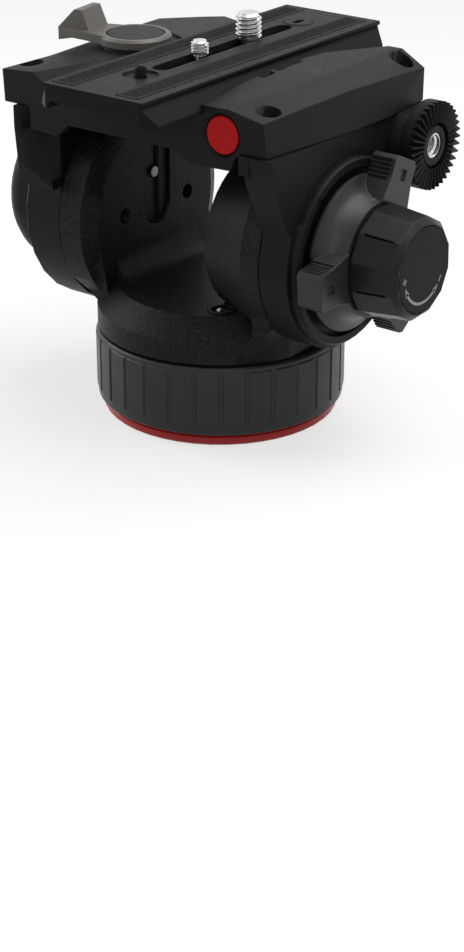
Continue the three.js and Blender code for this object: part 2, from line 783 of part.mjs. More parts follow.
// Right arm: the drum of the fluid unit, open towards the right cheek
function drum() {
  const shell = turned(
    [
      [0, DRUM_NOSE],
      [DRUM_NOSE_RADIUS, DRUM_NOSE],
      [DRUM_RADIUS, DRUM_SHOULDER],
      [DRUM_RADIUS, YOKE_FLAT],
      [0, YOKE_FLAT],
    ],
    "x",
  );
  const foot = carried(
    [
      [-LEFT_NECK_FOOT_HALF, YOKE_BOTTOM],
      [LEFT_NECK_FOOT_HALF, YOKE_BOTTOM],
      [DRUM_NOSE_RADIUS, LEFT_NECK_TOP],
      [-DRUM_NOSE_RADIUS, LEFT_NECK_TOP],
    ],
    DRUM_SHOULDER,
    YOKE_FLAT,
    "x",
  );
  return join(moved(shell, 0, 0, TILT_HEIGHT), foot);
}

// What is taken off the arms where they would stand out past the round foot
function funnel() {
  const top = YOKE_BOTTOM + YOKE_BAND;
  return turned([
    [YOKE_RADIUS, YOKE_BOTTOM - OVERRUN],
    [YOKE_RADIUS, top],
    [FUNNEL_REACH, top + (FUNNEL_REACH - YOKE_RADIUS)],
    [FUNNEL_REACH + OVERRUN, top + (FUNNEL_REACH - YOKE_RADIUS)],
    [FUNNEL_REACH + OVERRUN, YOKE_BOTTOM - OVERRUN],
  ]);
}

// Slot down the inner face of the left arm, with a step along its rear side
function armSlot() {
  const half = SLOT_WIDTH / 2;
  const top = LEFT_ARM_RADIUS + OVERRUN;
  const outline = [[half, top], [-half, top], ...arc(0, 0, half, 180, 360)];
  const stepHalf = half - SLOT_STEP_WIDTH;
  const deep = [[stepHalf, top], [-half, top], ...arc(0, 0, half, 180, 300), [stepHalf, 0]];
  const face = -LEFT_ARM_INNER + OVERRUN;
  return join(
    carried(outline, -LEFT_ARM_INNER - SLOT_STEP_DEPTH, face, "x"),
    carried(deep, -LEFT_ARM_INNER - SLOT_DEPTH, face, "x"),
  );
}

function yokeFrame() {
  const pocket = LEFT_ARM_OUTER - AXLE_DEPTH - SEAT_GAP;
  const axleBore = bar(AXLE_RADIUS + SEAT_GAP + AXLE_BUSH_WALL + SEAT_GAP, -LEFT_ARM_OUTER - OVERRUN, -pocket, "x", MEDIUM_SIDES);
  const fluidBore = bar(DRUM_CAVITY_RADIUS, DRUM_CAVITY_BACK, YOKE_FLAT + OVERRUN, "x", MEDIUM_SIDES);
  const hole = bar(ARM_HOLE_RADIUS, -LEFT_ARM_INNER - ARM_HOLE_DEPTH, -LEFT_ARM_INNER + OVERRUN, "x", TINY_SIDES);
  const screwHole = bar(SLOT_SCREW_RADIUS + SEAT_GAP, -LEFT_ARM_INNER - SLOT_DEPTH - SLOT_SCREW_RADIUS, -LEFT_ARM_INNER, "x", TINY_SIDES);
  const onTiltAxis = [
    axleBore,
    fluidBore,
    armSlot(),
    moved(hole, 0, -ARM_HOLE_SPACING / 2, 0),
    moved(hole, 0, ARM_HOLE_SPACING / 2, 0),
    moved(screwHole, 0, SLOT_SCREW_Y, SLOT_SCREW_RISE),
  ].map((cutter) => moved(cutter, 0, 0, TILT_HEIGHT));
  const level = moved(bar(LEVEL_RADIUS + SEAT_GAP, FLOOR - LEVEL_DEPTH, DRUM_NOSE + TILT_HEIGHT, "z"), LEVEL_X, LEVEL_Y, 0);
  const levelWell = level.intersect(block([0, YOKE_FLAT], [-YOKE_RADIUS, 0], [0, FLOOR + LEVEL_RADIUS]));
  const below = block([-YOKE_RADIUS * 2, YOKE_RADIUS * 2], [-YOKE_RADIUS * 2, YOKE_RADIUS * 2], [-OVERRUN, YOKE_BOTTOM]);
  const arms = cut(join(leftArm(), armFillet(), drum()), funnel(), below);
  const lockBoss = turned([[0, YOKE_RADIUS - HOUSING_WALL], [LOCK_BOSS_RADIUS, YOKE_RADIUS - HOUSING_WALL], [LOCK_BOSS_RADIUS, LOCK_BOSS_REACH], [0, LOCK_BOSS_REACH]], "x", SMALL_SIDES);
  const lockBore = bar(LOCK_STEM_RADIUS + RUN_GAP, YOKE_RADIUS - LOCK_STEM_DEPTH, LOCK_BOSS_REACH + OVERRUN, "x", TINY_SIDES);
  const atBack = (piece) => moved(spunAboutZ(piece, 90), 0, 0, LOCK_HEIGHT);
  const side = YOKE_FLAT + OVERRUN * 4;
  const flats = [-1, 1].map((sign) =>
    block([sign * YOKE_FLAT, sign * side].sort((a, b) => a - b), [-YOKE_RADIUS, YOKE_RADIUS], [YOKE_BOTTOM - OVERRUN, FLOOR]),
  );
  const whole = join(yokeFoot(), arms, atBack(lockBoss));
  return cut(whole, ...flats, ...onTiltAxis, levelWell, atBack(lockBore));
}

function panRotor() {
  return bar(ROTOR_RADIUS, ROTOR_BOTTOM, ROTOR_BOTTOM + ROTOR_THICKNESS, "z", MEDIUM_SIDES, SPINDLE_RADIUS + RUN_GAP);
}

function panBearing() {
  const bottom = SPINDLE_TOP + RUN_GAP;
  return bar(SPINDLE_FLANGE_RADIUS, bottom, bottom + BEARING_THICKNESS, "z", SMALL_SIDES, SPINDLE_RADIUS);
}

function levelCup() {
  const bottom = FLOOR - LEVEL_DEPTH + SEAT_GAP;
  return turned(
    [
      [0, bottom],
      [LEVEL_RADIUS, bottom],
      [LEVEL_RADIUS, FLOOR + SEAT_GAP],
      [LEVEL_RADIUS - LEVEL_WALL, FLOOR + SEAT_GAP],
      [LEVEL_RADIUS - LEVEL_WALL, bottom + LEVEL_WALL],
      [0, bottom + LEVEL_WALL],
    ],
    "z",
    SMALL_SIDES,
  );
}

function levelVial() {
  const bottom = FLOOR - LEVEL_DEPTH + SEAT_GAP + LEVEL_WALL + SEAT_GAP;
  const radius = LEVEL_RADIUS - LEVEL_WALL - SEAT_GAP;
  return turned([[0, bottom], [radius, bottom], [radius, FLOOR - VIAL_CROWN], [radius / 2, FLOOR], [0, FLOOR]], "z", SMALL_SIDES);
}

function slotScrew() {
  const floor = -LEFT_ARM_INNER - SLOT_DEPTH;
  const shank = SLOT_SCREW_RADIUS - SEAT_GAP;
  return turned(
    [
      [0, floor - shank],
      [shank, floor - shank],
      [shank, floor + SEAT_GAP],
      [SLOT_SCREW_RADIUS, floor + SEAT_GAP],
      [SLOT_SCREW_RADIUS, floor + SLOT_SCREW_HEAD],
      [0, floor + SLOT_SCREW_HEAD + SEAT_GAP],
    ],
    "x",
    TINY_SIDES,
  );
}

function axleBush() {
  const inner = AXLE_RADIUS + SEAT_GAP;
  return bar(inner + AXLE_BUSH_WALL, -LEFT_ARM_OUTER, -LEFT_ARM_OUTER + AXLE_DEPTH, "x", MEDIUM_SIDES, inner);
}

function fluidCup() {
  const back = DRUM_CAVITY_BACK + SEAT_GAP;
  return bar(DRUM_CAVITY_RADIUS - SEAT_GAP, back, back + FLUID_CUP_LENGTH, "x", MEDIUM_SIDES, FLUID_CUP_BORE);
}

function panLockKnob() {
  const step = 360 / LOCK_KNOB_LOBES;
  const outline = [];
  for (let i = 0; i < LOCK_KNOB_LOBES; i++) {
    outline.push(...arc(0, 0, LOCK_KNOB_RADIUS, i * step - step / 4, i * step + step / 4, 2));
    outline.push(polar(LOCK_KNOB_RADIUS * LOCK_LOBE_SHARE, (i + 0.5) * step));
  }
  const back = LOCK_BOSS_REACH + RUN_GAP;
  const grip = carried(outline, back, back + LOCK_KNOB_LENGTH, "x");
  const crown = turned(
    [
      [0, back - OVERRUN],
      [LOCK_KNOB_RADIUS * 2, back - OVERRUN],
      [LOCK_KNOB_RADIUS, back + LOCK_KNOB_LENGTH - OVERRUN],
      [LOCK_KNOB_RADIUS - OVERRUN, back + LOCK_KNOB_LENGTH],
      [0, back + LOCK_KNOB_LENGTH],
    ],
    "x",
    SMALL_SIDES,
  );
  const stem = bar(LOCK_STEM_RADIUS, YOKE_RADIUS - LOCK_STEM_DEPTH + RUN_GAP, back + OVERRUN, "x", TINY_SIDES);
  return spunAboutZ(join(grip.intersect(crown), stem), 90);
}

// Cheeks. Both outlines are drawn in y and z about the tilt axis.

const LEFT_CHEEK_FRONT_SHARES = [[0.95, 0.31], [0.975, 0.52], [1, 0.8]];
const RIGHT_CHEEK_FRONT_SHARES = [[0.79, 0.36], [0.84, 0.47], [0.89, 0.59], [0.98, 0.79]];
const CHEEK_REAR_SHARES = [[0.98, 0.8], [0.86, 0.64]];

function cheekOutline(radius, frontShares, arcFromDeg, arcToDeg) {
  const top = LUG_TOP - TILT_HEIGHT;
  return [
    ...arc(0, 0, radius, arcFromDeg, arcToDeg, SMALL_SIDES),
    ...[...CHEEK_REAR_SHARES].reverse().map(([y, z]) => [y * CHEEK_REAR, z * top]),
    [CHEEK_REAR, top],
    [-CHEEK_FRONT, top],
    ...[...frontShares].reverse().map(([y, z]) => [-y * CHEEK_FRONT, z * top]),
  ];
}

// A cheek between two faces, its outer edge bevelled
function cheekPlate(outline, inner, outer) {
  const geometry = new THREE.ExtrudeGeometry(shapeOf(outline), {
    depth: outer - inner - CHEEK_EDGE,
    bevelEnabled: true,
    bevelThickness: CHEEK_EDGE,
    bevelSize: CHEEK_EDGE,
    bevelOffset: -CHEEK_EDGE,
    bevelSegments: 1,
    curveSegments: ARC_STEPS,
  });
  geometry.translate(0, 0, inner);
  const height = LUG_TOP + TILT_HEIGHT;
  const inside = block([0, inner], [-height, height], [-height, height]);
  return cut(solid(geometry.applyMatrix4(FRAMES.x)), inside);
}

function rightCheek() {
  const outline = cheekOutline(CHEEK_RADIUS_RIGHT, RIGHT_CHEEK_FRONT_SHARES, 158, 388);
  const body = carried(outline, CHEEK_INNER, CHEEK_OUTER_RIGHT, "x");
  const lug = (from, to) =>
    block([LUG_REACH_RIGHT, CHEEK_INNER + OVERRUN], [from, to], [LUG_BOTTOM_RIGHT - TILT_HEIGHT, LUG_TOP - TILT_HEIGHT]);
  const lip = turned(
    [
      [LIP_BORE_RADIUS, CHEEK_OUTER_RIGHT - OVERRUN],
      [CHEEK_RADIUS_RIGHT - CHEEK_EDGE, CHEEK_OUTER_RIGHT - OVERRUN],
      [CHEEK_RADIUS_RIGHT - CHEEK_EDGE, CHEEK_OUTER_RIGHT],
      [LIP_RADIUS, LIP_REACH - CHEEK_EDGE / 2],
      [LIP_RADIUS - CHEEK_EDGE / 2, LIP_REACH],
      [LIP_BORE_RADIUS, LIP_REACH],
    ],
    "x",
  );
  const sleeve = bar(SLEEVE_RADIUS, CHEEK_OUTER_RIGHT - OVERRUN, SLEEVE_REACH, "x", MEDIUM_SIDES);
  const boss = rosetteBoss(CHEEK_OUTER_RIGHT);
  const bore = bar(STEM_RADIUS + RUN_GAP, CHEEK_INNER - OVERRUN, SLEEVE_REACH + OVERRUN, "x");
  const solidCheek = join(body, lug(-CHEEK_FRONT, -CHEEK_FRONT + LUG_DEPTH), lug(CHEEK_REAR - LUG_DEPTH, CHEEK_REAR), lip, sleeve, boss);
  return cut(solidCheek, bore, nutPocket(), ...casingBores([CASING_FRONT_RIGHT_X, CASING_REAR_RIGHT_X]));
}

// Smooth round boss that carries a rosette, drawn for the right side
function rosetteBoss(from) {
  const reach = ROSETTE_REACH - ROSETTE_THICKNESS - SEAT_GAP;
  const round = turned(
    [[0, from - OVERRUN], [ROSETTE_BOSS_RADIUS, from - OVERRUN], [ROSETTE_BOSS_RADIUS, reach - CHEEK_EDGE], [ROSETTE_BOSS_RADIUS - CHEEK_EDGE, reach], [0, reach]],
    "x",
    MEDIUM_SIDES,
  );
  const boss = moved(round, 0, ROSETTE_Y, ROSETTE_HEIGHT - TILT_HEIGHT);
  const top = LUG_TOP - TILT_HEIGHT;
  return cut(boss, block([0, ROSETTE_REACH], [0, BODY_REAR * 2], [top, top * 2]));
}

function nutPocket() {
  const tip = ROSETTE_REACH - ROSETTE_HUB_DROP - NUT_LENGTH - SEAT_GAP;
  return moved(bar(NUT_RADIUS + SEAT_GAP, tip, ROSETTE_REACH, "x"), 0, ROSETTE_Y, ROSETTE_HEIGHT - TILT_HEIGHT);
}

// Bores of the casing screws in a cheek, about the tilt axis
function casingBores(places) {
  const bottom = CASING_SEAT - CASING_SHANK_LENGTH - SEAT_GAP - TILT_HEIGHT;
  return places.map((x, i) =>
    moved(bar(CASING_SHANK_RADIUS + SEAT_GAP, bottom, SEAM_HEIGHT, "z", TINY_SIDES), x, i ? CASING_REAR_Y : CASING_FRONT_Y, 0),
  );
}

const mirrored = (piece) => placed(piece, new THREE.Matrix4().makeScale(-1, 1, 1));

function leftCheek() {
  const outline = cheekOutline(CHEEK_RADIUS_LEFT, LEFT_CHEEK_FRONT_SHARES, 160, 388);
  const plate = cheekPlate(outline, CHEEK_INNER, CHEEK_OUTER_LEFT);
  const top = LUG_TOP - TILT_HEIGHT;
  const lugBottom = CHEEK_LUG_BOTTOM - TILT_HEIGHT;
  const hollow = carried(
    [[CHEEK_INNER - OVERRUN, top + OVERRUN], [CHEEK_INNER - OVERRUN, lugBottom / 2], [CHEEK_INNER + CHEEK_EDGE, lugBottom / 2], [SKIRT_LEFT + OVERRUN, lugBottom], [SKIRT_LEFT + OVERRUN, top + OVERRUN]],
    -CHEEK_FRONT - OVERRUN,
    -CHEEK_FRONT + LUG_DEPTH / 2,
    "y",
  );
  const boss = rosetteBoss(CHEEK_OUTER_LEFT);
  const bore = bar(AXLE_RADIUS + SEAT_GAP, CHEEK_INNER - OVERRUN, CHEEK_OUTER_LEFT + OVERRUN, "x", MEDIUM_SIDES);
  const bores = casingBores([-CASING_FRONT_LEFT_X, -CASING_REAR_LEFT_X]);
  return mirrored(cut(join(plate, boss), hollow, bore, nutPocket(), ...bores));
}

// Round cap over the counterbalance, squarish in section
function roundCap() {
  const back = CHEEK_OUTER_LEFT + SEAT_GAP;
  const front = back + CAP_LENGTH;
  const edge = CAP_RADIUS * CAP_ROUND_SHARE;
  const rim = arc(CAP_RADIUS - edge, front - edge, edge, 0, 90).map(([radius, x]) => [radius, x]);
  const inner = CAP_RADIUS - CAP_WALL;
  const shell = turned([[inner, back], [CAP_RADIUS, back], ...rim, [0, front], [0, front - CAP_WALL], [inner - edge / 2, front - CAP_WALL], [inner, front - edge]].reverse(), "x");
  return mirrored(shell);
}

function tiltAxle() {
  const tip = LEFT_ARM_OUTER - AXLE_DEPTH;
  const head = CHEEK_OUTER_LEFT + SEAT_GAP;
  return mirrored(
    turned([[0, tip], [AXLE_RADIUS, tip], [AXLE_RADIUS, head], [AXLE_COLLAR_RADIUS, head], [AXLE_COLLAR_RADIUS, head + AXLE_COLLAR], [0, head + AXLE_COLLAR]], "x", MEDIUM_SIDES),
  );
}

function counterbalanceSpring() {
  const from = CHEEK_OUTER_LEFT + SEAT_GAP;
  return mirrored(bar(SPRING_RADIUS, from, from + SPRING_LENGTH, "x", MEDIUM_SIDES, SPRING_BORE_RADIUS));
}

function tiltRotor() {
  const plate = DRUM_CAVITY_BACK + SEAT_GAP + FLUID_CUP_LENGTH + RUN_GAP;
  const rim = CHEEK_INNER - SEAT_GAP;
  const shell = turned(
    [
      [0, DRUM_CAVITY_BACK + RUN_GAP],
      [ROTOR_HUB_RADIUS, DRUM_CAVITY_BACK + RUN_GAP],
      [ROTOR_HUB_RADIUS, plate],
      [DRUM_CAVITY_RADIUS - RUN_GAP, plate],
      [DRUM_CAVITY_RADIUS - RUN_GAP, rim],
      [0, rim],
    ],
    "x",
    MEDIUM_SIDES,
  );
  const stemRoom = bar(STEM_RADIUS + RUN_GAP, plate + RUN_GAP, rim + OVERRUN, "x");
  return cut(shell, stemRoom);
}

// Rosette: a ring whose face is cut into radial ridges, higher towards the rim
function toothedRing() {
  const back = ROSETTE_REACH - ROSETTE_THICKNESS;
  const steps = ROSETTE_TEETH * 2;
  const hole = NUT_RADIUS + SEAT_GAP;
  const rows = [
    [hole, () => back],
    [ROSETTE_RADIUS, () => back],
    [ROSETTE_RADIUS, (i) => ROSETTE_REACH - (i % 2) * ROSETTE_RIDGE * 2],
    [ROSETTE_INNER_RADIUS, (i) => ROSETTE_REACH - ROSETTE_RIDGE - ((i % 2) * ROSETTE_RIDGE * ROSETTE_INNER_RADIUS) / ROSETTE_RADIUS],
    [hole, () => ROSETTE_REACH - ROSETTE_RIDGE * 2],
  ];
  const points = [];
  const faces = [];
  for (let i = 0; i < steps; i++)
    rows.forEach(([radius, reach], row) => {
      const angle = radians((i * 360) / steps);
      points.push(reach(i), radius * Math.cos(angle), radius * Math.sin(angle));
      const [a, b] = [i * rows.length + row, i * rows.length + ((row + 1) % rows.length)];
      const [c, d] = [a, b].map((vertex) => (vertex + rows.length) % (steps * rows.length));
      faces.push(a, b, d, a, d, c);
    });
  const geometry = new THREE.BufferGeometry();
  geometry.setAttribute("position", new THREE.Float32BufferAttribute(points, 3));
  geometry.setIndex(faces);
  return moved(solid(geometry), 0, ROSETTE_Y, ROSETTE_HEIGHT - TILT_HEIGHT);
}

function rosetteNut() {
  const tip = ROSETTE_REACH - ROSETTE_HUB_DROP;
  return moved(bar(NUT_RADIUS, tip - NUT_LENGTH, tip, "x", SMALL_SIDES, NUT_BORE_RADIUS), 0, ROSETTE_Y, ROSETTE_HEIGHT - TILT_HEIGHT);
}

// Platform

// Stations from front to rear. Each row holds shares: place along the body, then inner top x and
// rise, crease x and rise, outer top x and rise, and x at the seam.
const RIGHT_ROOF_SHARES = [
  [0, 0.455, 0.764, 0.64, 0.78, 0.891, 0.637, 0.916],
  [0.25, 0.455, 0.923, 0.684, 0.835, 0.93, 0.709, 0.961],
  [0.5, 0.455, 1, 0.728, 0.89, 0.951, 0.747, 0.996],
  [0.74, 0.482, 0.989, 0.761, 0.934, 0.965, 0.714, 1],
  [1, 0.693, 0.956, 0.795, 0.956, 0.965, 0.654, 0.963],
];
const LEFT_ROOF_SHARES = [
  [0, 0.716, 0.56, 0.765, 0.703, 0.994, 0.648, 0.985],
  [0.25, 0.579, 0.802, 0.884, 0.758, 0.976, 0.637, 0.97],
  [0.47, 0.59, 0.912, 0.884, 0.802, 0.957, 0.637, 0.954],
  [0.74, 0.61, 0.912, 0.861, 0.802, 0.939, 0.637, 0.938],
  [1, 0.61, 0.83, 0.823, 0.747, 0.918, 0.615, 0.915],
];
const LEFT_INNER_RISE_SHARES = [0.571, 0.802, 0.901, 0.912, 0.83];
const SHOULDER_OUTLINE_SHARES = [
  [0.79, 0.41], [0.793, 0.62], [0.625, 0.86], [0.524, 0.98], [0.41, 0.93], [0.401, 0.25], [0.58, 0.36],
];
const SKIRT_SHARES = [
  [-1, 0.93], [-0.764, 1], [-0.653, 0.44], [0.277, 0.4], [0.485, 0.85], [0.9, 0.78], [0.95, 0.2], [1, 0.11],
];

const bodyLength = BODY_FRONT + BODY_REAR;

function rightBlock() {
  const rings = RIGHT_ROOF_SHARES.map(([along, x1, z1, x2, z2, x3, z3, x4]) => {
    const y = -BODY_FRONT + along * bodyLength;
    const at = (x, rise) => [x, y, SEAM_HEIGHT + rise * ROOF_RISE];
    const inner = Math.max(x1 * RIGHT_REACH, JAW_RIGHT);
    return [
      at(inner, 0),
      at(x4 * RIGHT_REACH, 0),
      at(x3 * RIGHT_REACH, z3),
      at(x2 * RIGHT_REACH, z2),
      at(inner, z1),
    ];
  });
  return lofted(rings);
}

function leftBlock() {
  const rings = LEFT_ROOF_SHARES.map(([along, x1, z1, x2, z2, x3, z3, x4], row) => {
    const y = -BODY_FRONT + along * bodyLength;
    const at = (x, rise) => [-x, y, SEAM_HEIGHT + rise * ROOF_RISE];
    return [
      at(JAW_LEFT, 0),
      at(x4 * LEFT_REACH, 0),
      at(x3 * LEFT_REACH, z3),
      at(x2 * LEFT_REACH, z2),
      at(x1 * LEFT_REACH, z1),
      at(JAW_LEFT, LEFT_INNER_RISE_SHARES[row]),
    ];
  });
  return lofted(rings);
}

// Deck under the plate, with the relief at the rear that lets the platform tilt back
function deck() {
  const reach = JAW_RIGHT + BOX_WALL;
  const outline = [
    [-reach, -BODY_FRONT],
    [reach, -BODY_FRONT],
    [reach, BODY_REAR],
    [RELIEF_HALF, BODY_REAR],
    [RELIEF_HALF, RELIEF_REAR],
    [-RELIEF_HALF, RELIEF_REAR],
    [-RELIEF_HALF, BODY_REAR],
    [-reach, BODY_REAR],
  ];
  return carried(outline, SEAM_HEIGHT, DECK_TOP);
}

// Wall that hangs down at the front, deeper at its two tabs
function skirt() {
  const outline = SKIRT_SHARES.map(([x, drop]) => [
    x < 0 ? x * SKIRT_LEFT : x * SKIRT_RIGHT,
    SEAM_HEIGHT - drop * SKIRT_DROP,
  ]);
  outline.push([SKIRT_RIGHT, SEAM_HEIGHT + OVERRUN], [-SKIRT_LEFT, SEAM_HEIGHT + OVERRUN]);
  return carried(outline, -BODY_FRONT, -BODY_FRONT + SKIRT_THICKNESS, "y");
}

function rearShoulder() {
  const outline = SHOULDER_OUTLINE_SHARES.map(([x, y]) => [-x * LEFT_REACH, y * BODY_REAR]);
  return carried(outline, DECK_TOP - OVERRUN, SHOULDER_TOP);
}

// The screw's shank bore and, above its seat, the counterbore for its head
function casingHole([x, y]) {
  const top = SEAM_HEIGHT + ROOF_RISE + OVERRUN;
  return moved(
    turned(
      [
        [0, SEAM_HEIGHT - OVERRUN],
        [CASING_SHANK_RADIUS + SEAT_GAP, SEAM_HEIGHT - OVERRUN],
        [CASING_SHANK_RADIUS + SEAT_GAP, CASING_SEAT],
        [COUNTERBORE_RADIUS, CASING_SEAT],
        [COUNTERBORE_RADIUS, top],
        [0, top],
      ],
      "z",
      SMALL_SIDES,
    ),
    x, y, 0,
  );
}

const CASING_SCREWS = {
  casing_screw_front_right: [CASING_FRONT_RIGHT_X, CASING_FRONT_Y],
  casing_screw_rear_right: [CASING_REAR_RIGHT_X, CASING_REAR_Y],
  casing_screw_front_left: [CASING_FRONT_LEFT_X, CASING_FRONT_Y],
  casing_screw_rear_left: [CASING_REAR_LEFT_X, CASING_REAR_Y],
};

function badgeRecess() {
  const back = BODY_FRONT - BADGE_THICKNESS - SEAT_GAP;
  const round = turned(
    [[0, back], [BADGE_RADIUS + SEAT_GAP, back], [BADGE_RADIUS + SEAT_GAP, BODY_FRONT - BADGE_THICKNESS], [BADGE_RADIUS + BADGE_BEVEL, BODY_FRONT], [BADGE_RADIUS + BADGE_BEVEL, BODY_FRONT + OVERRUN], [0, BODY_FRONT + OVERRUN]],
    "x",
    MEDIUM_SIDES,
  );
  return moved(spunAboutZ(round, -90), BADGE_X, 0, BADGE_HEIGHT);
}

// Notch in the inner edge of the right roof, seen as a dark window beside the plate
function roofWindow(y, length) {
  const top = SEAM_HEIGHT + ROOF_RISE;
  return block([JAW_RIGHT - OVERRUN, JAW_RIGHT + WINDOW_DEPTH], [y - length / 2, y + length / 2], [top - WINDOW_DROP - OVERRUN, top + OVERRUN]);
}

// Lip along the right jaw that holds the plate's foot down
function jawLip() {
  const low = DECK_TOP + JAW_LIP_HEIGHT - JAW_LIP;
  const high = SEAM_HEIGHT + RIGHT_ROOF_SHARES[0][2] * ROOF_RISE;
  const outline = [[JAW_RIGHT + JAW_LIP, low], [JAW_RIGHT, low], [JAW_RIGHT - JAW_LIP, low + JAW_LIP], [JAW_RIGHT - JAW_LIP, high], [JAW_RIGHT + JAW_LIP, high]];
  return carried(outline, -BODY_FRONT, 0, "y");
}

function platformBody() {
  const hubPad = moved(bar(HUB_PAD_RADIUS, DECK_TOP, HUB_PAD_TOP, "z", MEDIUM_SIDES), HUB_X, 0, 0);
  const postHole = moved(bar(POST_RADIUS + SEAT_GAP, HUB_PAD_TOP - POST_DEPTH, HUB_PAD_TOP + OVERRUN), HUB_X, 0, 0);
  const underside = block(
    [-RELIEF_HALF, RELIEF_HALF],
    [-BODY_FRONT + SKIRT_THICKNESS, BODY_REAR + OVERRUN],
    [SEAM_HEIGHT - OVERRUN, DECK_UNDERSIDE],
  );
  const jawRoom = block(
    [-JAW_LEFT - CLAMP_JAW_WIDTH - CLAMP_TRAVEL - RUN_GAP, -JAW_LEFT + OVERRUN],
    [-CLAMP_JAW_LENGTH / 2 - RUN_GAP, CLAMP_JAW_LENGTH / 2 + RUN_GAP],
    [DECK_TOP, DECK_TOP + CLAMP_JAW_HEIGHT + RUN_GAP],
  );
  const whole = join(rightBlock(), leftBlock(), deck(), skirt(), rearShoulder(), hubPad, jawLip());
  const windows = [roofWindow(WINDOW_SHORT_Y, WINDOW_SHORT), roofWindow(WINDOW_LONG_Y, WINDOW_LONG)];
  return cut(whole, postHole, underside, jawRoom, badgeRecess(), ...windows, ...Object.values(CASING_SCREWS).map(casingHole));
}

function badgeDisc() {
  const back = BODY_FRONT - BADGE_THICKNESS;
  const round = turned(
    [[0, back], [BADGE_RADIUS, back], [BADGE_RADIUS, BODY_FRONT - SEAT_GAP - SEAT_GAP], [BADGE_RADIUS - SEAT_GAP, BODY_FRONT - SEAT_GAP], [0, BODY_FRONT - SEAT_GAP]],
    "x",
    MEDIUM_SIDES,
  );
  return moved(spunAboutZ(round, -90), BADGE_X, 0, BADGE_HEIGHT);
}

// Socket-head casing screw with its hexagonal key hole
function casingScrew() {
  const seat = CASING_SEAT + SEAT_GAP;
  const top = seat + CASING_HEAD_HEIGHT;
  const screw = turned(
    [
      [0, CASING_SEAT - CASING_SHANK_LENGTH],
      [CASING_SHANK_RADIUS, CASING_SEAT - CASING_SHANK_LENGTH],
      [CASING_SHANK_RADIUS, seat],
      [CASING_HEAD_RADIUS, seat],
      [CASING_HEAD_RADIUS, top],
      [0, top],
    ],
    "z",
    TINY_SIDES,
  );
  return cut(screw, bar(HEX_KEY_RADIUS, top - HEX_KEY_RADIUS, top + OVERRUN, "z", 6));
}

// Tilt lock ring and drag knob

// One wing of the lock ring, wider at its root, with grip grooves on its leading side
function lockWing() {
  const root = LOCK_RING_NECK - OVERRUN;
  const edge = CHEEK_EDGE;
  const outline = [
    [root, -WING_HALF * 1.3],
    [LOCK_RING_RADIUS, -WING_HALF],
    [WING_REACH - edge, -WING_HALF],
    [WING_REACH, -WING_HALF + edge],
    [WING_REACH, WING_HALF - edge],
    [WING_REACH - edge, WING_HALF],
    [LOCK_RING_RADIUS, WING_HALF],
    [root, WING_HALF * 1.3],
  ];
  const wing = carried(outline, WING_BACK, WING_FRONT, "x");
  const pitch = (WING_REACH - edge - LOCK_RING_RADIUS + edge) / WING_RIBS;
  const grooves = Array.from({ length: WING_RIBS }, (_, i) => {
    const middle = LOCK_RING_RADIUS - edge + i * pitch;
    return block(
      [WING_BACK - OVERRUN, WING_FRONT - edge],
      [middle, middle + WING_RIB_WIDTH],
      [WING_HALF - WING_RIB_DEPTH, WING_HALF + OVERRUN],
    );
  });
  return cut(wing, ...grooves);
}

function tiltLockRing() {
  const bore = SLEEVE_RADIUS + RUN_GAP;
  const depth = LOCK_RING_FRONT - LOCK_RING_BACK - LOCK_RING_FLANGE;
  const width = LOCK_RING_RADIUS - LOCK_RING_NECK;
  const flare = Array.from({ length: ARC_STEPS + 1 }, (_, i) => {
    const angle = ((Math.PI / 2) * i) / ARC_STEPS;
    return [LOCK_RING_NECK + width * (1 - Math.sin(angle)), LOCK_RING_FRONT - depth * Math.cos(angle)];
  });
  const ring = turned([[bore, LOCK_RING_BACK], [LOCK_RING_RADIUS, LOCK_RING_BACK], ...flare, [bore, LOCK_RING_FRONT]], "x");
  const wing = lockWing();
  const wings = Array.from({ length: WING_COUNT }, (_, i) => spunAboutX(wing, WING_PHASE_DEG + (i * 360) / WING_COUNT));
  const room = bar(bore, LOCK_RING_BACK - OVERRUN, WING_FRONT + OVERRUN, "x", LARGE_SIDES);
  return cut(join(ring, ...wings), room);
}

// Ring of the faceted knob at one place along the axis
function facetRing(x, radius) {
  return Array.from({ length: KNOB_SIDES }, (_, i) => {
    const angle = radians(KNOB_PHASE_DEG + (i * 360) / KNOB_SIDES);
    return [x, radius * Math.cos(angle), radius * Math.sin(angle)];
  });
}

function tiltDragKnob() {
  const body = lofted([
    facetRing(KNOB_BACK, KNOB_ROOT_RADIUS),
    facetRing(KNOB_RIM, KNOB_RIM_RADIUS),
    facetRing(KNOB_FRONT, KNOB_FACE_RADIUS),
  ]);
  const stem = bar(STEM_RADIUS, KNOB_BACK - KNOB_STEM_LENGTH, KNOB_BACK + OVERRUN, "x");
  const dish = bar(KNOB_DISC_RADIUS + SEAT_GAP, KNOB_FRONT - KNOB_DISC_THICKNESS - SEAT_GAP, KNOB_FRONT + OVERRUN, "x", MEDIUM_SIDES);
  const apothem = KNOB_ROOT_RADIUS * Math.cos(Math.PI / KNOB_SIDES);
  const groove = block([KNOB_BACK + OVERRUN, KNOB_RIM - OVERRUN], [-KNOB_GROOVE / 2, KNOB_GROOVE / 2], [KNOB_RIM_RADIUS - KNOB_GROOVE_DEPTH, apothem + OVERRUN]);
  const grooves = Array.from({ length: KNOB_SIDES / 2 }, (_, i) =>
    spunAboutX(groove, KNOB_PHASE_DEG + ((i * 2) * 360) / KNOB_SIDES - 90),
  );
  return cut(join(body, stem), dish, ...grooves);
}

function knobFaceDisc() {
  const back = KNOB_FRONT - KNOB_DISC_THICKNESS;
  return bar(KNOB_DISC_RADIUS, back, KNOB_FRONT, "x", MEDIUM_SIDES);
}

// Clamp lever

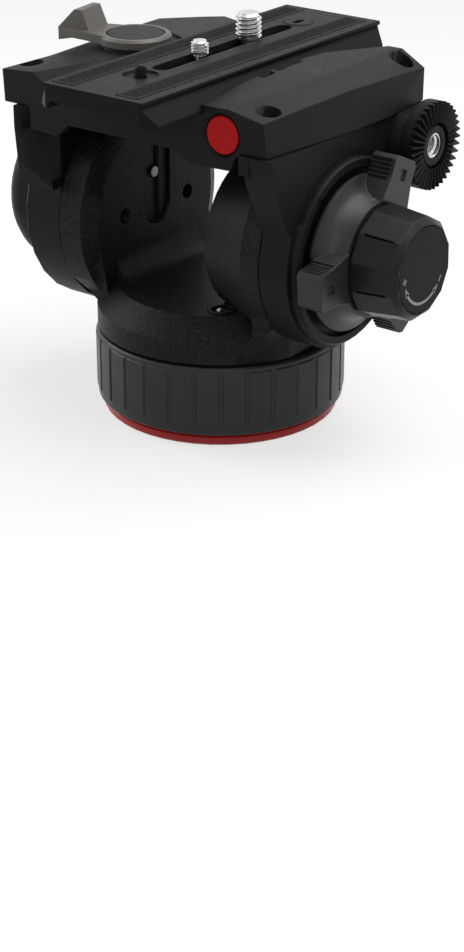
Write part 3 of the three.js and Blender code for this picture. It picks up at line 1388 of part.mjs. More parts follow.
function clampLever() {
  const low = LEVER_BOTTOM;
  const rim = LEVER_TOP;
  const hub = turned(
    [
      [0, low],
      [LEVER_SKIRT_RADIUS, low],
      [LEVER_SKIRT_RADIUS, rim - SEAT_GAP * 3],
      [LEVER_HUB_RADIUS, rim],
      [LEVER_CAP_RADIUS + SEAT_GAP, rim],
      [LEVER_CAP_RADIUS + SEAT_GAP, rim - LEVER_CAP_DEPTH],
      [0, rim - LEVER_CAP_DEPTH],
    ],
    "z",
    MEDIUM_SIDES,
  );
  const armLow = rim - LEVER_ARM_THICKNESS;
  const tabInner = LEVER_ARM_REACH - LEVER_TAB_REACH;
  const arm = carried(
    [
      [-LEVER_HUB_RADIUS / 2, -LEVER_ARM_ROOT_HALF * 1.3],
      [-tabInner, -LEVER_ARM_ROOT_HALF],
      [-LEVER_ARM_REACH, -LEVER_ARM_TIP_HALF],
      [-LEVER_ARM_REACH, LEVER_ARM_TIP_HALF],
      [-tabInner, LEVER_ARM_TIP_HALF],
      [-LEVER_HUB_RADIUS / 2, LEVER_ARM_ROOT_HALF],
    ],
    armLow,
    rim,
  );
  const tab = lofted([
    [
      [-tabInner - LEVER_TAB_THICKNESS, -LEVER_ARM_TIP_HALF, armLow],
      [-LEVER_ARM_REACH, -LEVER_ARM_TIP_HALF, armLow - LEVER_ARM_THICKNESS / 2],
      [-LEVER_ARM_REACH, LEVER_ARM_TIP_HALF, armLow - LEVER_ARM_THICKNESS / 2],
      [-tabInner - LEVER_TAB_THICKNESS, LEVER_ARM_TIP_HALF, armLow],
    ],
    [
      [-tabInner, -LEVER_ARM_TIP_HALF, rim],
      [-LEVER_ARM_REACH, -LEVER_ARM_TIP_HALF, rim],
      [-LEVER_ARM_REACH, LEVER_ARM_TIP_HALF, rim],
      [-tabInner, LEVER_ARM_TIP_HALF, rim],
    ],
    [
      [-tabInner - LEVER_TAB_THICKNESS / 2, -LEVER_ARM_TIP_HALF, LEVER_TAB_TOP],
      [-tabInner - LEVER_TAB_THICKNESS, -LEVER_ARM_TIP_HALF, LEVER_TAB_TOP],
      [-tabInner - LEVER_TAB_THICKNESS, LEVER_ARM_TIP_HALF, LEVER_TAB_TOP],
      [-tabInner - LEVER_TAB_THICKNESS / 2, LEVER_ARM_TIP_HALF, LEVER_TAB_TOP],
    ],
  ]);
  const whole = cut(join(hub, spunAboutZ(join(arm, tab), LEVER_TURN_DEG)), bar(POST_RADIUS + SEAT_GAP, low - OVERRUN, low + OVERRUN));
  const dish = bar(LEVER_CAP_RADIUS + SEAT_GAP, rim - LEVER_CAP_DEPTH, rim + OVERRUN, "z", MEDIUM_SIDES);
  return cut(whole, dish);
}

function leverCap() {
  const low = LEVER_TOP - LEVER_CAP_DEPTH + SEAT_GAP;
  return turned([[0, low], [LEVER_CAP_RADIUS, low], [LEVER_CAP_RADIUS, LEVER_TOP - SEAT_GAP], [LEVER_CAP_RADIUS - SEAT_GAP, LEVER_TOP], [0, LEVER_TOP]], "z", MEDIUM_SIDES);
}

function leverPost() {
  return bar(POST_RADIUS, HUB_PAD_TOP - POST_DEPTH + SEAT_GAP, LEVER_BOTTOM + OVERRUN - SEAT_GAP, "z", SMALL_SIDES);
}

function clampJaw() {
  const face = -PLATE_FOOT_HALF - RUN_GAP;
  const low = DECK_TOP + SEAT_GAP / 2;
  const high = DECK_TOP + CLAMP_JAW_HEIGHT;
  const outline = [
    [face - CLAMP_JAW_WIDTH, low],
    [face, low],
    [face, low + PLATE_FOOT_EDGE],
    [face + PLATE_EDGE / 2, high],
    [face - CLAMP_JAW_WIDTH, high],
  ];
  return carried(outline, -CLAMP_JAW_LENGTH / 2, CLAMP_JAW_LENGTH / 2, "y");
}

// Sliding plate

// Half section of the plate from its top edge down to the inner side of its foot
function plateSection() {
  const side = [
    [PLATE_TOP_HALF - SEAT_GAP, PLATE_TOP],
    [PLATE_TOP_HALF, PLATE_TOP - SEAT_GAP],
    [PLATE_TOP_HALF, PLATE_TOP - PLATE_EDGE],
    [PLATE_TOP_HALF - PLATE_GROOVE, PLATE_TOP - PLATE_EDGE - PLATE_GROOVE / 2],
    [PLATE_TOP_HALF, PLATE_TOP - PLATE_EDGE - PLATE_GROOVE * 2],
    [PLATE_FOOT_HALF, PLATE_FOOT_BOTTOM + PLATE_FOOT_EDGE],
    [PLATE_FOOT_HALF, PLATE_FOOT_BOTTOM],
    [PLATE_FOOT_INNER, PLATE_FOOT_BOTTOM],
    [PLATE_FOOT_INNER - PLATE_FOOT_EDGE, PLATE_WEB_BOTTOM],
  ];
  return [...side, ...side.map(([x, z]) => [-x, z]).reverse()];
}

// Slot outline with round ends, drawn in x and y
function slotOutline(half, front, rear) {
  return [
    ...arc(PLATE_BORE_X, rear, half, 0, 180, TINY_SIDES / 2),
    ...arc(PLATE_BORE_X, front, half, 180, 360, TINY_SIDES / 2),
  ];
}

function cameraPlate() {
  const half = PLATE_LENGTH / 2;
  const body = carried(plateSection(), -half, half, "y");
  const corner = [
    [PLATE_TOP_HALF - PLATE_GROOVE, half + OVERRUN],
    [PLATE_TOP_HALF - PLATE_GROOVE, half],
    [PLATE_FOOT_HALF + OVERRUN, half - PLATE_END_CHAMFER],
    [PLATE_FOOT_HALF + OVERRUN, half + OVERRUN],
  ];
  const corners = [[1, 1], [-1, 1], [1, -1], [-1, -1]].map(([sx, sy]) =>
    carried(corner.map(([x, y]) => [x * sx, y * sy]), PLATE_FOOT_BOTTOM - OVERRUN, PLATE_TOP - PLATE_EDGE),
  );
  const ledge = PLATE_TOP - SLOT_LEDGE_DEPTH;
  const slot = carried(slotOutline(SLOT_HALF, PLATE_SLOT_FRONT, PLATE_SLOT_REAR - SLOT_HALF), PLATE_FOOT_BOTTOM, PLATE_TOP + OVERRUN);
  const channel = carried(
    slotOutline(SLOT_HALF + SLOT_LEDGE * 2, PLATE_SLOT_FRONT + SLOT_LEDGE, PLATE_SLOT_REAR - SLOT_HALF - SLOT_LEDGE),
    PLATE_FOOT_BOTTOM,
    ledge,
  );
  const strips = [-1, 1].map((sign) => {
    const middle = PLATE_MIDDLE_X + sign * STRIP_OFFSET;
    return block([middle - STRIP_WIDTH / 2 - SEAT_GAP, middle + STRIP_WIDTH / 2 + SEAT_GAP], [-STRIP_LENGTH / 2 - SEAT_GAP, STRIP_LENGTH / 2 + SEAT_GAP], [PLATE_TOP - STRIP_SINK, PLATE_TOP + OVERRUN]);
  });
  const dish = bar(PIN_DISH_RADIUS, PLATE_TOP - PIN_DISH_DEPTH, PLATE_TOP + OVERRUN, "z", SMALL_SIDES);
  const pinHole = bar(PIN_RADIUS + RUN_GAP, PLATE_FOOT_BOTTOM, PLATE_TOP, "z", TINY_SIDES);
  const pinRoom = bar(PIN_FLANGE_RADIUS + RUN_GAP, PLATE_FOOT_BOTTOM, PLATE_WEB_BOTTOM + PIN_FLANGE + PIN_TRAVEL, "z", SMALL_SIDES);
  const bushSeat = bar(END_BUSH_RADIUS + SEAT_GAP, PLATE_TOP - END_BUSH_DEPTH, PLATE_TOP + OVERRUN, "z", SMALL_SIDES);
  const atPin = [dish, pinHole, pinRoom].map((piece) => moved(piece, PLATE_BORE_X, PIN_Y, 0));
  return cut(body, ...corners, slot, channel, ...strips, ...atPin, moved(bushSeat, PLATE_BORE_X, END_BUSH_Y, 0));
}

function gripStrip(sign) {
  const middle = PLATE_MIDDLE_X + sign * STRIP_OFFSET;
  return block([middle - STRIP_WIDTH / 2, middle + STRIP_WIDTH / 2], [-STRIP_LENGTH / 2, STRIP_LENGTH / 2], [PLATE_TOP - STRIP_SINK + SEAT_GAP, PLATE_TOP + STRIP_PROUD]);
}

function endBush() {
  const low = PLATE_TOP - END_BUSH_DEPTH + SEAT_GAP;
  const top = PLATE_TOP + END_BUSH_PROUD;
  const ring = turned([[0, low], [END_BUSH_RADIUS, low], [END_BUSH_RADIUS, top - SEAT_GAP], [END_BUSH_RADIUS - SEAT_GAP * 2, top], [0, top]], "z", SMALL_SIDES);
  const hole = carried(
    [...arc(0, END_BUSH_HOLE_HALF - END_BUSH_HOLE_RADIUS, END_BUSH_HOLE_RADIUS, 0, 180), ...arc(0, -END_BUSH_HOLE_HALF + END_BUSH_HOLE_RADIUS, END_BUSH_HOLE_RADIUS, 180, 360)],
    low - OVERRUN,
    top + OVERRUN,
  );
  return cut(ring, hole);
}

// Radius of a camera screw where it runs in the slot
function screwNeck(radius) {
  return Math.min(radius - SCREW_THREAD_RELIEF, SLOT_HALF - RUN_GAP);
}

// Camera screw with thread ridges above the plate and a slotted head below it
function cameraScrew(radius, top, headRadius) {
  const headTop = WASHER_TOP - WASHER_THICKNESS - SEAT_GAP;
  const headLow = headTop - SCREW_HEAD_HEIGHT;
  const core = radius - SCREW_THREAD_RELIEF;
  const neck = screwNeck(radius);
  const pitch = SCREW_THREAD_RELIEF * 2.4;
  const threadFrom = PLATE_TOP + SCREW_THREAD_RELIEF;
  const turns = Math.floor((top - SCREW_THREAD_RELIEF - threadFrom) / pitch);
  const ridges = Array.from({ length: turns }, (_, i) => [
    [core, threadFrom + i * pitch],
    [radius, threadFrom + (i + 0.5) * pitch],
  ]).flat();
  const screw = turned(
    [[0, headLow], [headRadius, headLow], [headRadius, headTop], [neck, headTop], [neck, threadFrom - SEAT_GAP], ...ridges, [core, threadFrom + turns * pitch], [core - SCREW_THREAD_RELIEF, top], [0, top]],
    "z",
    TINY_SIDES,
  );
  const key = block([-SCREW_KEY_WIDTH / 2, SCREW_KEY_WIDTH / 2], [-headRadius - OVERRUN, headRadius + OVERRUN], [headLow - OVERRUN, headLow + SCREW_KEY_DEPTH]);
  return cut(screw, key);
}

function slidingWasher(radius) {
  return bar(WASHER_RADIUS, WASHER_TOP - WASHER_THICKNESS, WASHER_TOP, "z", SMALL_SIDES, screwNeck(radius) + RUN_GAP);
}

function videoPin() {
  const flangeTop = PLATE_WEB_BOTTOM + PIN_FLANGE + PIN_TRAVEL - RUN_GAP;
  return turned(
    [
      [0, flangeTop - PIN_FLANGE],
      [PIN_FLANGE_RADIUS, flangeTop - PIN_FLANGE],
      [PIN_FLANGE_RADIUS, flangeTop],
      [PIN_RADIUS, flangeTop],
      [PIN_RADIUS, PIN_TOP - PIN_RADIUS / 2],
      [PIN_RADIUS / 2, PIN_TOP],
      [0, PIN_TOP],
    ],
    "z",
    TINY_SIDES,
  );
}

// Assembly. The tilting pieces hang from the tilt axis, the plate's pieces from the plate.

const base = group(
  [0, 0, 0],
  mesh("base_housing", baseHousing(), blackCasting),
  mesh("red_trim_ring", redRing(), redPaint),
  mesh("tripod_bush", mountBush(), steel),
  mesh("pan_spindle", panSpindle(), steel),
  mesh("adapter_ring", adapterRing(), blackPlastic),
  mesh("adapter_insert", adapterInsert(), aluminium),
  mesh("adapter_set_screw", adapterSetScrew(), steel),
  mesh("pan_drag_ring", panDragRing(), blackPlastic),
);

const yoke = group(
  [0, 0, 0],
  mesh("yoke_frame", yokeFrame(), blackCasting),
  mesh("pan_rotor", panRotor(), aluminium),
  mesh("pan_bearing", panBearing(), bronze),
  group(
    [LEVEL_X, LEVEL_Y, 0],
    mesh("level_cup", levelCup(), blackPlastic),
    mesh("level_vial", levelVial(), glass),
  ),
  group([0, SLOT_SCREW_Y, TILT_HEIGHT + SLOT_SCREW_RISE], mesh("slot_screw", slotScrew(), steel)),
  group(
    [0, 0, TILT_HEIGHT],
    mesh("axle_bush", axleBush(), bronze),
    mesh("tilt_fluid_cup", fluidCup(), aluminium),
  ),
  group([0, 0, LOCK_HEIGHT], mesh("pan_lock_knob", panLockKnob(), blackPlastic)),
);

const tilting = group(
  [0, 0, TILT_HEIGHT],
  mesh("left_cheek", leftCheek(), blackCasting),
  mesh("right_cheek", rightCheek(), blackCasting),
  mesh("left_cap", roundCap(), blackPlastic),
  mesh("tilt_axle", tiltAxle(), steel),
  mesh("counterbalance_spring", counterbalanceSpring(), steel),
  mesh("tilt_rotor", tiltRotor(), aluminium),
  mesh("right_rosette", toothedRing(), blackCasting),
  mesh("right_rosette_nut", rosetteNut(), steel),
  mesh("left_rosette", mirrored(toothedRing()), blackCasting),
  mesh("left_rosette_nut", mirrored(rosetteNut()), steel),
  mesh("tilt_lock_ring", tiltLockRing(), blackPlastic),
  mesh("tilt_drag_knob", tiltDragKnob(), blackPlastic),
  mesh("knob_face_disc", knobFaceDisc(), blackPlastic),
);

const casing = Object.entries(CASING_SCREWS).map(([name, [x, y]]) =>
  group([x, y, 0], mesh(name, casingScrew(), steel)),
);

const platform = group(
  [0, 0, 0],
  mesh("platform_body", platformBody(), platformGrey),
  mesh("badge_disc", badgeDisc(), redPaint),
  ...casing,
  mesh("clamp_jaw", clampJaw(), aluminium),
  group(
    [HUB_X, 0, 0],
    mesh("clamp_lever", clampLever(), titanium),
    mesh("lever_cap", leverCap(), blackPlastic),
    mesh("lever_post", leverPost(), steel),
  ),
);

const plate = group(
  [0, 0, 0],
  mesh("camera_plate", cameraPlate(), plateBlack),
  mesh("grip_strip_left", gripStrip(-1), rubber),
  mesh("grip_strip_right", gripStrip(1), rubber),
  group([PLATE_BORE_X, END_BUSH_Y, 0], mesh("plate_end_bush", endBush(), blackPlastic)),
  group(
    [PLATE_BORE_X, BIG_SCREW_Y, 0],
    mesh("camera_screw_large", cameraScrew(BIG_SCREW_RADIUS, BIG_SCREW_TOP, BIG_HEAD_RADIUS), steel),
    mesh("washer_large", slidingWasher(BIG_SCREW_RADIUS), blackPlastic),
  ),
  group(
    [PLATE_BORE_X, SMALL_SCREW_Y, 0],
    mesh("camera_screw_small", cameraScrew(SMALL_SCREW_RADIUS, SMALL_SCREW_TOP, SMALL_HEAD_RADIUS), steel),
    mesh("washer_small", slidingWasher(SMALL_SCREW_RADIUS), blackPlastic),
  ),
  group([PLATE_BORE_X, PIN_Y, 0], mesh("video_pin", videoPin(), blackPlastic)),
);

const head = new THREE.Group();
head.add(base, yoke, tilting, platform, plate);

export default head;
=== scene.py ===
"""Dresses the fluid video head in its finishes, adds its fine details and sets up the studio."""

import json
import logging
import math
from collections.abc import Callable
from dataclasses import dataclass, field
from enum import Enum

import bmesh
import bpy
from mathutils import Matrix, Vector

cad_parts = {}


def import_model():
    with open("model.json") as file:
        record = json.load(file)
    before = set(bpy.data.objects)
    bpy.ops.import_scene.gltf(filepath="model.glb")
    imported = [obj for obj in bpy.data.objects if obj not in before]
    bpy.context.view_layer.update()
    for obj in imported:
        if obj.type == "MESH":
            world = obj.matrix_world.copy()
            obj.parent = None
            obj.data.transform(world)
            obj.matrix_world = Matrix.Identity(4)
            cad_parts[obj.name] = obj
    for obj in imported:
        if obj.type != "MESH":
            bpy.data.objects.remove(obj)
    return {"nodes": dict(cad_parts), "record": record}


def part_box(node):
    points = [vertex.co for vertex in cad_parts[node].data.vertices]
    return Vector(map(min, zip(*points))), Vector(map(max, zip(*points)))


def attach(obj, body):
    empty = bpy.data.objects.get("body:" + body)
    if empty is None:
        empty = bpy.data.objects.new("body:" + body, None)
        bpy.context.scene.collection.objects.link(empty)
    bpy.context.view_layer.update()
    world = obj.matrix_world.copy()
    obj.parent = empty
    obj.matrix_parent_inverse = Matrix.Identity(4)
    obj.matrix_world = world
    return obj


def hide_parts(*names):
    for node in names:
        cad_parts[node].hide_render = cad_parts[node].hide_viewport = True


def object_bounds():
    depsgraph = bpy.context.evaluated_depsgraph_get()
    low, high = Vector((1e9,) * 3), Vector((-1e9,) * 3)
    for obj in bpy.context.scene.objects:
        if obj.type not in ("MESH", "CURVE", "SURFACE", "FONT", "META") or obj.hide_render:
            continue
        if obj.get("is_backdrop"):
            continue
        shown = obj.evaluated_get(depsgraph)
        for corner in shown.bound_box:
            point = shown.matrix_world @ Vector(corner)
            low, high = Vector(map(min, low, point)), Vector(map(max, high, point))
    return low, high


LOG = logging.getLogger("fluid_head")
MM = 0.001
Colour = tuple[float, float, float]
Point = tuple[float, float, float]

BLACK: Colour = (0.0, 0.0, 0.0)
WHITE: Colour = (1.0, 1.0, 1.0)

# Layers of detail in a noise, its middle value, and the rays that find an edge
COARSE = 2.0
FINE = 3.0
MIDDLE = 0.5
EDGE_SAMPLES = 4

# Sockets of the Mix node that take its two colours and give the mixed one
MIX_FIRST, MIX_SECOND, MIX_RESULT = 6, 7, 2

# Angles in degrees from which an edge stays sharp on most pieces, is bevelled,
# and stays sharp on toothed pieces and on facets
SHARP_ANGLE = 34.0
BEVEL_ANGLE = 28.0
CRISP_ANGLE = 25.0
FACET_ANGLE = 20.0

# Sides of screws, inserts and their threads
TURNED_SIDES = 40

# Segments of a wide and a narrow bevel, and how far large faces rule the shading
WIDE_SEGMENTS = 3
NARROW_SEGMENTS = 2
LARGE_FACES = 80


class Axis(Enum):
    """A direction of the frame, as a unit vector."""

    X = (1.0, 0.0, 0.0)
    Y = (0.0, 1.0, 0.0)
    Z = (0.0, 0.0, 1.0)


class Shine(Enum):
    """How rough a surface is, from matt rubber to polished metal."""

    MATT = 0.72
    SATIN = 0.46
    SILK = 0.36
    GLOSS = 0.2


class Wire:
    """A socket of a material that can be used in sums as if it were a number."""

    def __init__(self, recipe: "Recipe", socket: bpy.types.NodeSocket) -> None:
        """Keeps the socket and the recipe that its sums are added to."""
        self.recipe = recipe
        self.socket = socket

    def _sum(self, operation: str, left: "Wire | float", right: "Wire | float") -> "Wire":
        """The result of one Math node with this operation."""
        return self.recipe.node("ShaderNodeMath", {"operation": operation}, {0: left, 1: right})

    def __add__(self, other: "Wire | float") -> "Wire":
        """This value plus another."""
        return self._sum("ADD", self, other)

    def __radd__(self, other: float) -> "Wire":
        """A number plus this value."""
        return self._sum("ADD", other, self)

    def __sub__(self, other: "Wire | float") -> "Wire":
        """This value less another."""
        return self._sum("SUBTRACT", self, other)

    def __rsub__(self, other: float) -> "Wire":
        """A number less this value."""
        return self._sum("SUBTRACT", other, self)

    def __mul__(self, other: "Wire | float") -> "Wire":
        """This value times another."""
        return self._sum("MULTIPLY", self, other)

    def __rmul__(self, other: float) -> "Wire":
        """A number times this value."""
        return self._sum("MULTIPLY", other, self)

    def __gt__(self, other: "Wire | float") -> "Wire":
        """1 where this value is the larger, and 0 elsewhere."""
        return self._sum("GREATER_THAN", self, other)


class Recipe:
    """The node tree of one material, built one node at a time."""

    def __init__(self, name: str) -> None:
        """Starts an empty material with its shader and output.

        Args:
            name: The material's name.
        """
        self.material = bpy.data.materials.new(name)
        self.material.use_nodes = True
        self.tree = self.material.node_tree
        self.tree.nodes.clear()
        self.shader = self.tree.nodes.new("ShaderNodeBsdfPrincipled")
        output = self.tree.nodes.new("ShaderNodeOutputMaterial")
        self.tree.links.new(self.shader.outputs["BSDF"], output.inputs["Surface"])

    def node(
        self,
        kind: str,
        settings: dict[str, object] | None = None,
        inputs: dict[str | int, object] | None = None,
        output: str | int = 0,
    ) -> Wire:
        """Adds a node of any type.

        Args:
            kind: The node's type name.
            settings: Its own settings, which are set first.
            inputs: A value or a wire for each named or numbered socket.
            output: The socket that is wanted from it.

        Returns:
            The wanted output.
        """
        node = self.tree.nodes.new(kind)
        for key, setting in (settings or {}).items():
            setattr(node, key, setting)
        for key, given in (inputs or {}).items():
            self.feed(node.inputs[key], given)
        return Wire(self, node.outputs[output])

    def feed(self, socket: bpy.types.NodeSocket, given: object) -> None:
        """Links a wire to a socket, or sets the socket to a plain value.

        Args:
            socket: The socket to feed.
            given: A wire, a number or a colour.
        """
        if isinstance(given, Wire):
            self.tree.links.new(given.socket, socket)
        else:
            socket.default_value = given

    def place(self) -> Wire:
        """The place on the object, in metres."""
        return self.node("ShaderNodeTexCoord", output="Object")

    def noise(self, size: float, detail: float = COARSE) -> Wire:
        """Soft random spots from 0 to 1, of a size in metres and with finer layers in them."""
        inputs = {"Vector": self.place(), "Scale": 1 / size, "Detail": detail}
        return self.node("ShaderNodeTexNoise", inputs=inputs)

    def ramp(self, value: Wire, low: float, high: float) -> Wire:
        """Spreads a value smoothly, so that low becomes 0 and high becomes 1."""
        inputs = {"Value": value, "From Min": low, "From Max": high}
        return self.node("ShaderNodeMapRange", {"interpolation_type": "SMOOTHSTEP"}, inputs)

    def blend(
        self,
        share: Wire | float,
        first: Colour | Wire,
        second: Colour | Wire,
        kind: str = "MIX",
    ) -> Wire:
        """Mixes two colours.

        Args:
            share: How much of the second colour is taken.
            first: The colour at 0.
            second: The colour at 1.
            kind: How the second colour goes over the first.

        Returns:
            The mixed colour.
        """
        under, over = (
            colour if isinstance(colour, Wire) else (*colour, 1.0) for colour in (first, second)
        )
        settings = {"data_type": "RGBA", "blend_type": kind}
        inputs = {"Factor": share, MIX_FIRST: under, MIX_SECOND: over}
        return self.node("ShaderNodeMix", settings, inputs, output=MIX_RESULT)

    def edges(self, radius: float) -> Wire:
        """The surface's direction, with its edges softened by a radius in metres."""
        inputs = {"Radius": radius}
        return self.node("ShaderNodeBevel", {"samples": EDGE_SAMPLES}, inputs, output="Normal")

    def relief(self, height: Wire, depth: float, strength: float, radius: float) -> Wire:
        """A fine relief over softened edges.

        Args:
            height: The relief's height from 0 to 1.
            depth: The height in metres that 1 stands for.
            strength: How strongly it shows.
            radius: The radius of the softened edges in metres.

        Returns:
            The direction of the surface.
        """
        soft = self.edges(radius)
        inputs = {"Height": height, "Distance": depth, "Strength": strength, "Normal": soft}
        return self.node("ShaderNodeBump", inputs=inputs)

    def surface(self, **given: object) -> bpy.types.Material:
        """Feeds the shader's sockets.

        Args:
            **given: A wire or a value for each socket, with _ for the spaces in its name.

        Returns:
            The finished material.
        """
        for name, value in given.items():
            self.feed(self.shader.inputs[name.replace("_", " ")], value)
        return self.material


@dataclass(frozen=True)
class Finish:
    """A finish of the head, and the slot of the record that it belongs to."""

    name: str
    slot: str

    def material(self) -> bpy.types.Material:
        """The material, made once and then shared."""
        return bpy.data.materials.get(self.name) or self.mix(Recipe(self.name))

    def mix(self, recipe: Recipe) -> bpy.types.Material:
        """Mixes the finish in an empty recipe."""
        return recipe.surface()


@dataclass(frozen=True)
class Coating(Finish):
    """Paint, powder coat or moulded plastic with a fine grain."""

    colour: Colour = (0.02, 0.02, 0.02)
    shine: Shine = Shine.SATIN
    metal: float = 0.0
    grain: float = 0.35 * MM
    depth: float = 0.018 * MM
    strength: float = 0.35
    drift: float = 0.25
    cloud: float = 12 * MM
    patch: float = 4 * MM
    patch_change: float = 0.16
    grain_change: float = 0.12
    edge: float = 0.35 * MM
    clear: float = 0.0
    gloss: float = 0.1

    def grey(self, recipe: Recipe) -> Wire:
        """The colour with slow, faint changes over the surface."""
        darker = tuple(channel * (1 - self.drift) for channel in self.colour)
        return recipe.blend(recipe.noise(self.cloud, FINE), darker, self.colour)

    def mix(self, recipe: Recipe) -> bpy.types.Material:
        """Mixes the coating.

        Args:
            recipe: An empty recipe.

        Returns:
            The material of the coating.
        """
        fine = recipe.noise(self.grain, FINE)
        patches = recipe.noise(self.patch)
        return recipe.surface(
            Base_Color=self.grey(recipe),
            Roughness=self.shine.value
            + self.patch_change * (patches - MIDDLE)
            + self.grain_change * (fine - MIDDLE),
            Metallic=self.metal,
            Coat_Weight=self.clear,
            Specular_IOR_Level=self.gloss,
            Normal=recipe.relief(fine, self.depth, self.strength, self.edge),
        )


@dataclass(frozen=True)
class Speckle(Coating):
    """A coarse coating with raised grains, some of which carry a painted glint in their colour."""

    flake: float = 0.38 * MM
    flake_rim: float = 0.7
    flake_core: float = 0.25
    # Colour of the painted glint that is added to some grains
    glint: Colour = (0.045, 0.045, 0.045)
    share: float = 0.5
    share_blur: float = 0.15
    grit: float = 0.5
    grit_change: float = 0.1

    def mix(self, recipe: Recipe) -> bpy.types.Material:
        """Mixes the speckled coating.

        Args:
            recipe: An empty recipe.

        Returns:
            The material of the speckled coating.
        """
        inputs = {"Vector": recipe.place(), "Scale": 1 / self.flake}
        cells = recipe.node("ShaderNodeTexVoronoi", inputs=inputs, output="Distance")
        lots = recipe.node("ShaderNodeTexVoronoi", inputs=inputs, output="Color")
        chosen = recipe.ramp(lots, 1 - self.share, 1 - self.share + self.share_blur)
        flakes = recipe.ramp(cells, self.flake_rim, self.flake_core)
        fine = recipe.noise(self.grain, FINE)
        # Painted glints: a light colour added to the colour of the chosen grains
        bright = recipe.blend(chosen * flakes, BLACK, self.glint)
        return recipe.surface(
            Base_Color=recipe.blend(1.0, self.grey(recipe), bright, "ADD"),
            Roughness=self.shine.value + self.grit_change * (fine - MIDDLE),
            Metallic=self.metal,
            Specular_IOR_Level=self.gloss,
            Normal=recipe.relief(flakes + self.grit * fine, self.depth, self.strength, self.edge),
        )


@dataclass(frozen=True)
class Turned(Finish):
    """Metal with the fine rings that a lathe leaves around an axis."""

    colour: Colour = (0.7, 0.71, 0.72)
    shine: Shine = Shine.GLOSS
    metal: float = 1.0
    axis: Axis = Axis.Z
    centre: Point = (0.0, 0.0, 0.0)
    ring: float = 0.25 * MM
    ring_depth: float = 0.02 * MM
    ring_strength: float = 0.25
    ring_change: float = 0.14
    cloud: float = 2.5 * MM
    cloud_change: float = 0.1
    dullness: float = 0.22
    edge: float = 0.15 * MM

    def mix(self, recipe: Recipe) -> bpy.types.Material:
        """Mixes the turned metal.

        Args:
            recipe: An empty recipe.

        Returns:
            The material of the turned metal.
        """
        vector, axis = "ShaderNodeVectorMath", self.axis.value
        across = tuple(1.0 - share for share in axis)
        inputs = {"Vector": recipe.place(), "Location": tuple(-part for part in self.centre)}
        spot = recipe.node("ShaderNodeMapping", inputs=inputs)
        flat = recipe.node(vector, {"operation": "MULTIPLY"}, {0: spot, 1: across})
        radius = recipe.node(vector, {"operation": "LENGTH"}, {0: flat}, "Value")
        along = recipe.node(vector, {"operation": "DOT_PRODUCT"}, {0: spot, 1: axis}, "Value")
        inputs = {"W": radius + along, "Scale": 1 / self.ring, "Detail": COARSE}
        rings = recipe.node("ShaderNodeTexNoise", {"noise_dimensions": "1D"}, inputs)
        cloud = recipe.noise(self.cloud, FINE)
        dull = tuple(channel * (1 - self.dullness) for channel in self.colour)
        return recipe.surface(
            Base_Color=recipe.blend(cloud, dull, self.colour),
            Roughness=self.shine.value
            + self.ring_change * (rings - MIDDLE)
            + self.cloud_change * (cloud - MIDDLE),
            Metallic=self.metal,
            Normal=recipe.relief(rings, self.ring_depth, self.ring_strength, self.edge),
        )


@dataclass(frozen=True)
class Vial(Finish):
    """Clear acrylic over green fluid."""

    colour: Colour = (0.05, 0.075, 0.015)
    deepness: float = 0.5
    cloud: float = 1.5 * MM
    rough: float = 0.05
    clear: float = 1.0
    edge: float = 0.3 * MM

    def mix(self, recipe: Recipe) -> bpy.types.Material:
        """Mixes the vial.

        Args:
            recipe: An empty recipe.

        Returns:
            The material of the vial.
        """
        deep = tuple(channel * self.deepness for channel in self.colour)
        return recipe.surface(
            Base_Color=recipe.blend(recipe.noise(self.cloud), deep, self.colour),
            Roughness=self.rough,
            Coat_Weight=self.clear,
            Normal=recipe.edges(self.edge),
        )


# The finishes, each with the slot of the record that its pieces belong to
CAST = Coating(
    "cast_black",
    "black_casting",
    colour=(0.012, 0.012, 0.0125),
    grain=0.3 * MM,
    edge=0.2 * MM,
)
# The yoke's coating: raised grains, with painted glints on some of them
BRIDGE = Speckle("yoke_speckled", "black_casting", colour=(0.012, 0.012, 0.0125), depth=0.03 * MM)
ROOF = Coating(
    "roof_grey",
    "grey_casting",
    colour=(0.024, 0.024, 0.025),
    grain=0.25 * MM,
    drift=0.12,
    edge=0.5 * MM,
    gloss=0.07,
)
PLATE = Coating(
    "plate_satin",
    "plate_black",
    colour=(0.017, 0.017, 0.0175),
    grain=0.2 * MM,
    edge=0.2 * MM,
    gloss=0.06,
)
MOULDED = Coating("moulded_black", "black_plastic", colour=(0.01, 0.01, 0.0105), grain=0.25 * MM)
LOCK = Coating(
    "lock_ring_black",
    "black_plastic",
    colour=(0.03, 0.03, 0.03),
    shine=Shine.SILK,
    grain=0.22 * MM,
    edge=0.5 * MM,
    gloss=0.3,
)
COLLAR = Coating(
    "collar_black",
    "black_plastic",
    colour=(0.044, 0.044, 0.045),
    shine=Shine.SILK,
    edge=0.3 * MM,
    gloss=0.24,
)
KNOB = Coating(
    "knob_black",
    "black_plastic",
    colour=(0.0095, 0.0095, 0.01),
    shine=Shine.SILK,
    edge=0.5 * MM,
    gloss=0.2,
)
FACE = Coating("knob_face_black", "black_plastic", colour=(0.012, 0.012, 0.0125), gloss=0.08)
MARKS = Coating(
    "marks_white",
    "black_plastic",
    colour=(0.6, 0.6, 0.6),
    grain=0.15 * MM,
    edge=0.05 * MM,
)
RED = Coating(
    "trim_red",
    "red_paint",
    colour=(0.72, 0.03, 0.026),
    shine=Shine.SILK,
    grain=0.6 * MM,
    drift=0.12,
    clear=0.4,
)
BADGE = Coating(
    "badge_red",
    "red_paint",
    colour=(0.9, 0.008, 0.012),
    grain=0.4 * MM,
    drift=0.1,
    clear=0.12,
)
LEVER = Coating(
    "lever_titanium",
    "titanium_grey",
    colour=(0.17, 0.16, 0.148),
    metal=0.4,
    grain=0.25 * MM,
)
STRIP = Coating(
    "strip_rubber",
    "grip_rubber",
    colour=(0.03, 0.029, 0.029),
    shine=Shine.MATT,
    grain=0.18 * MM,
    strength=0.6,
    edge=0.1 * MM,
)
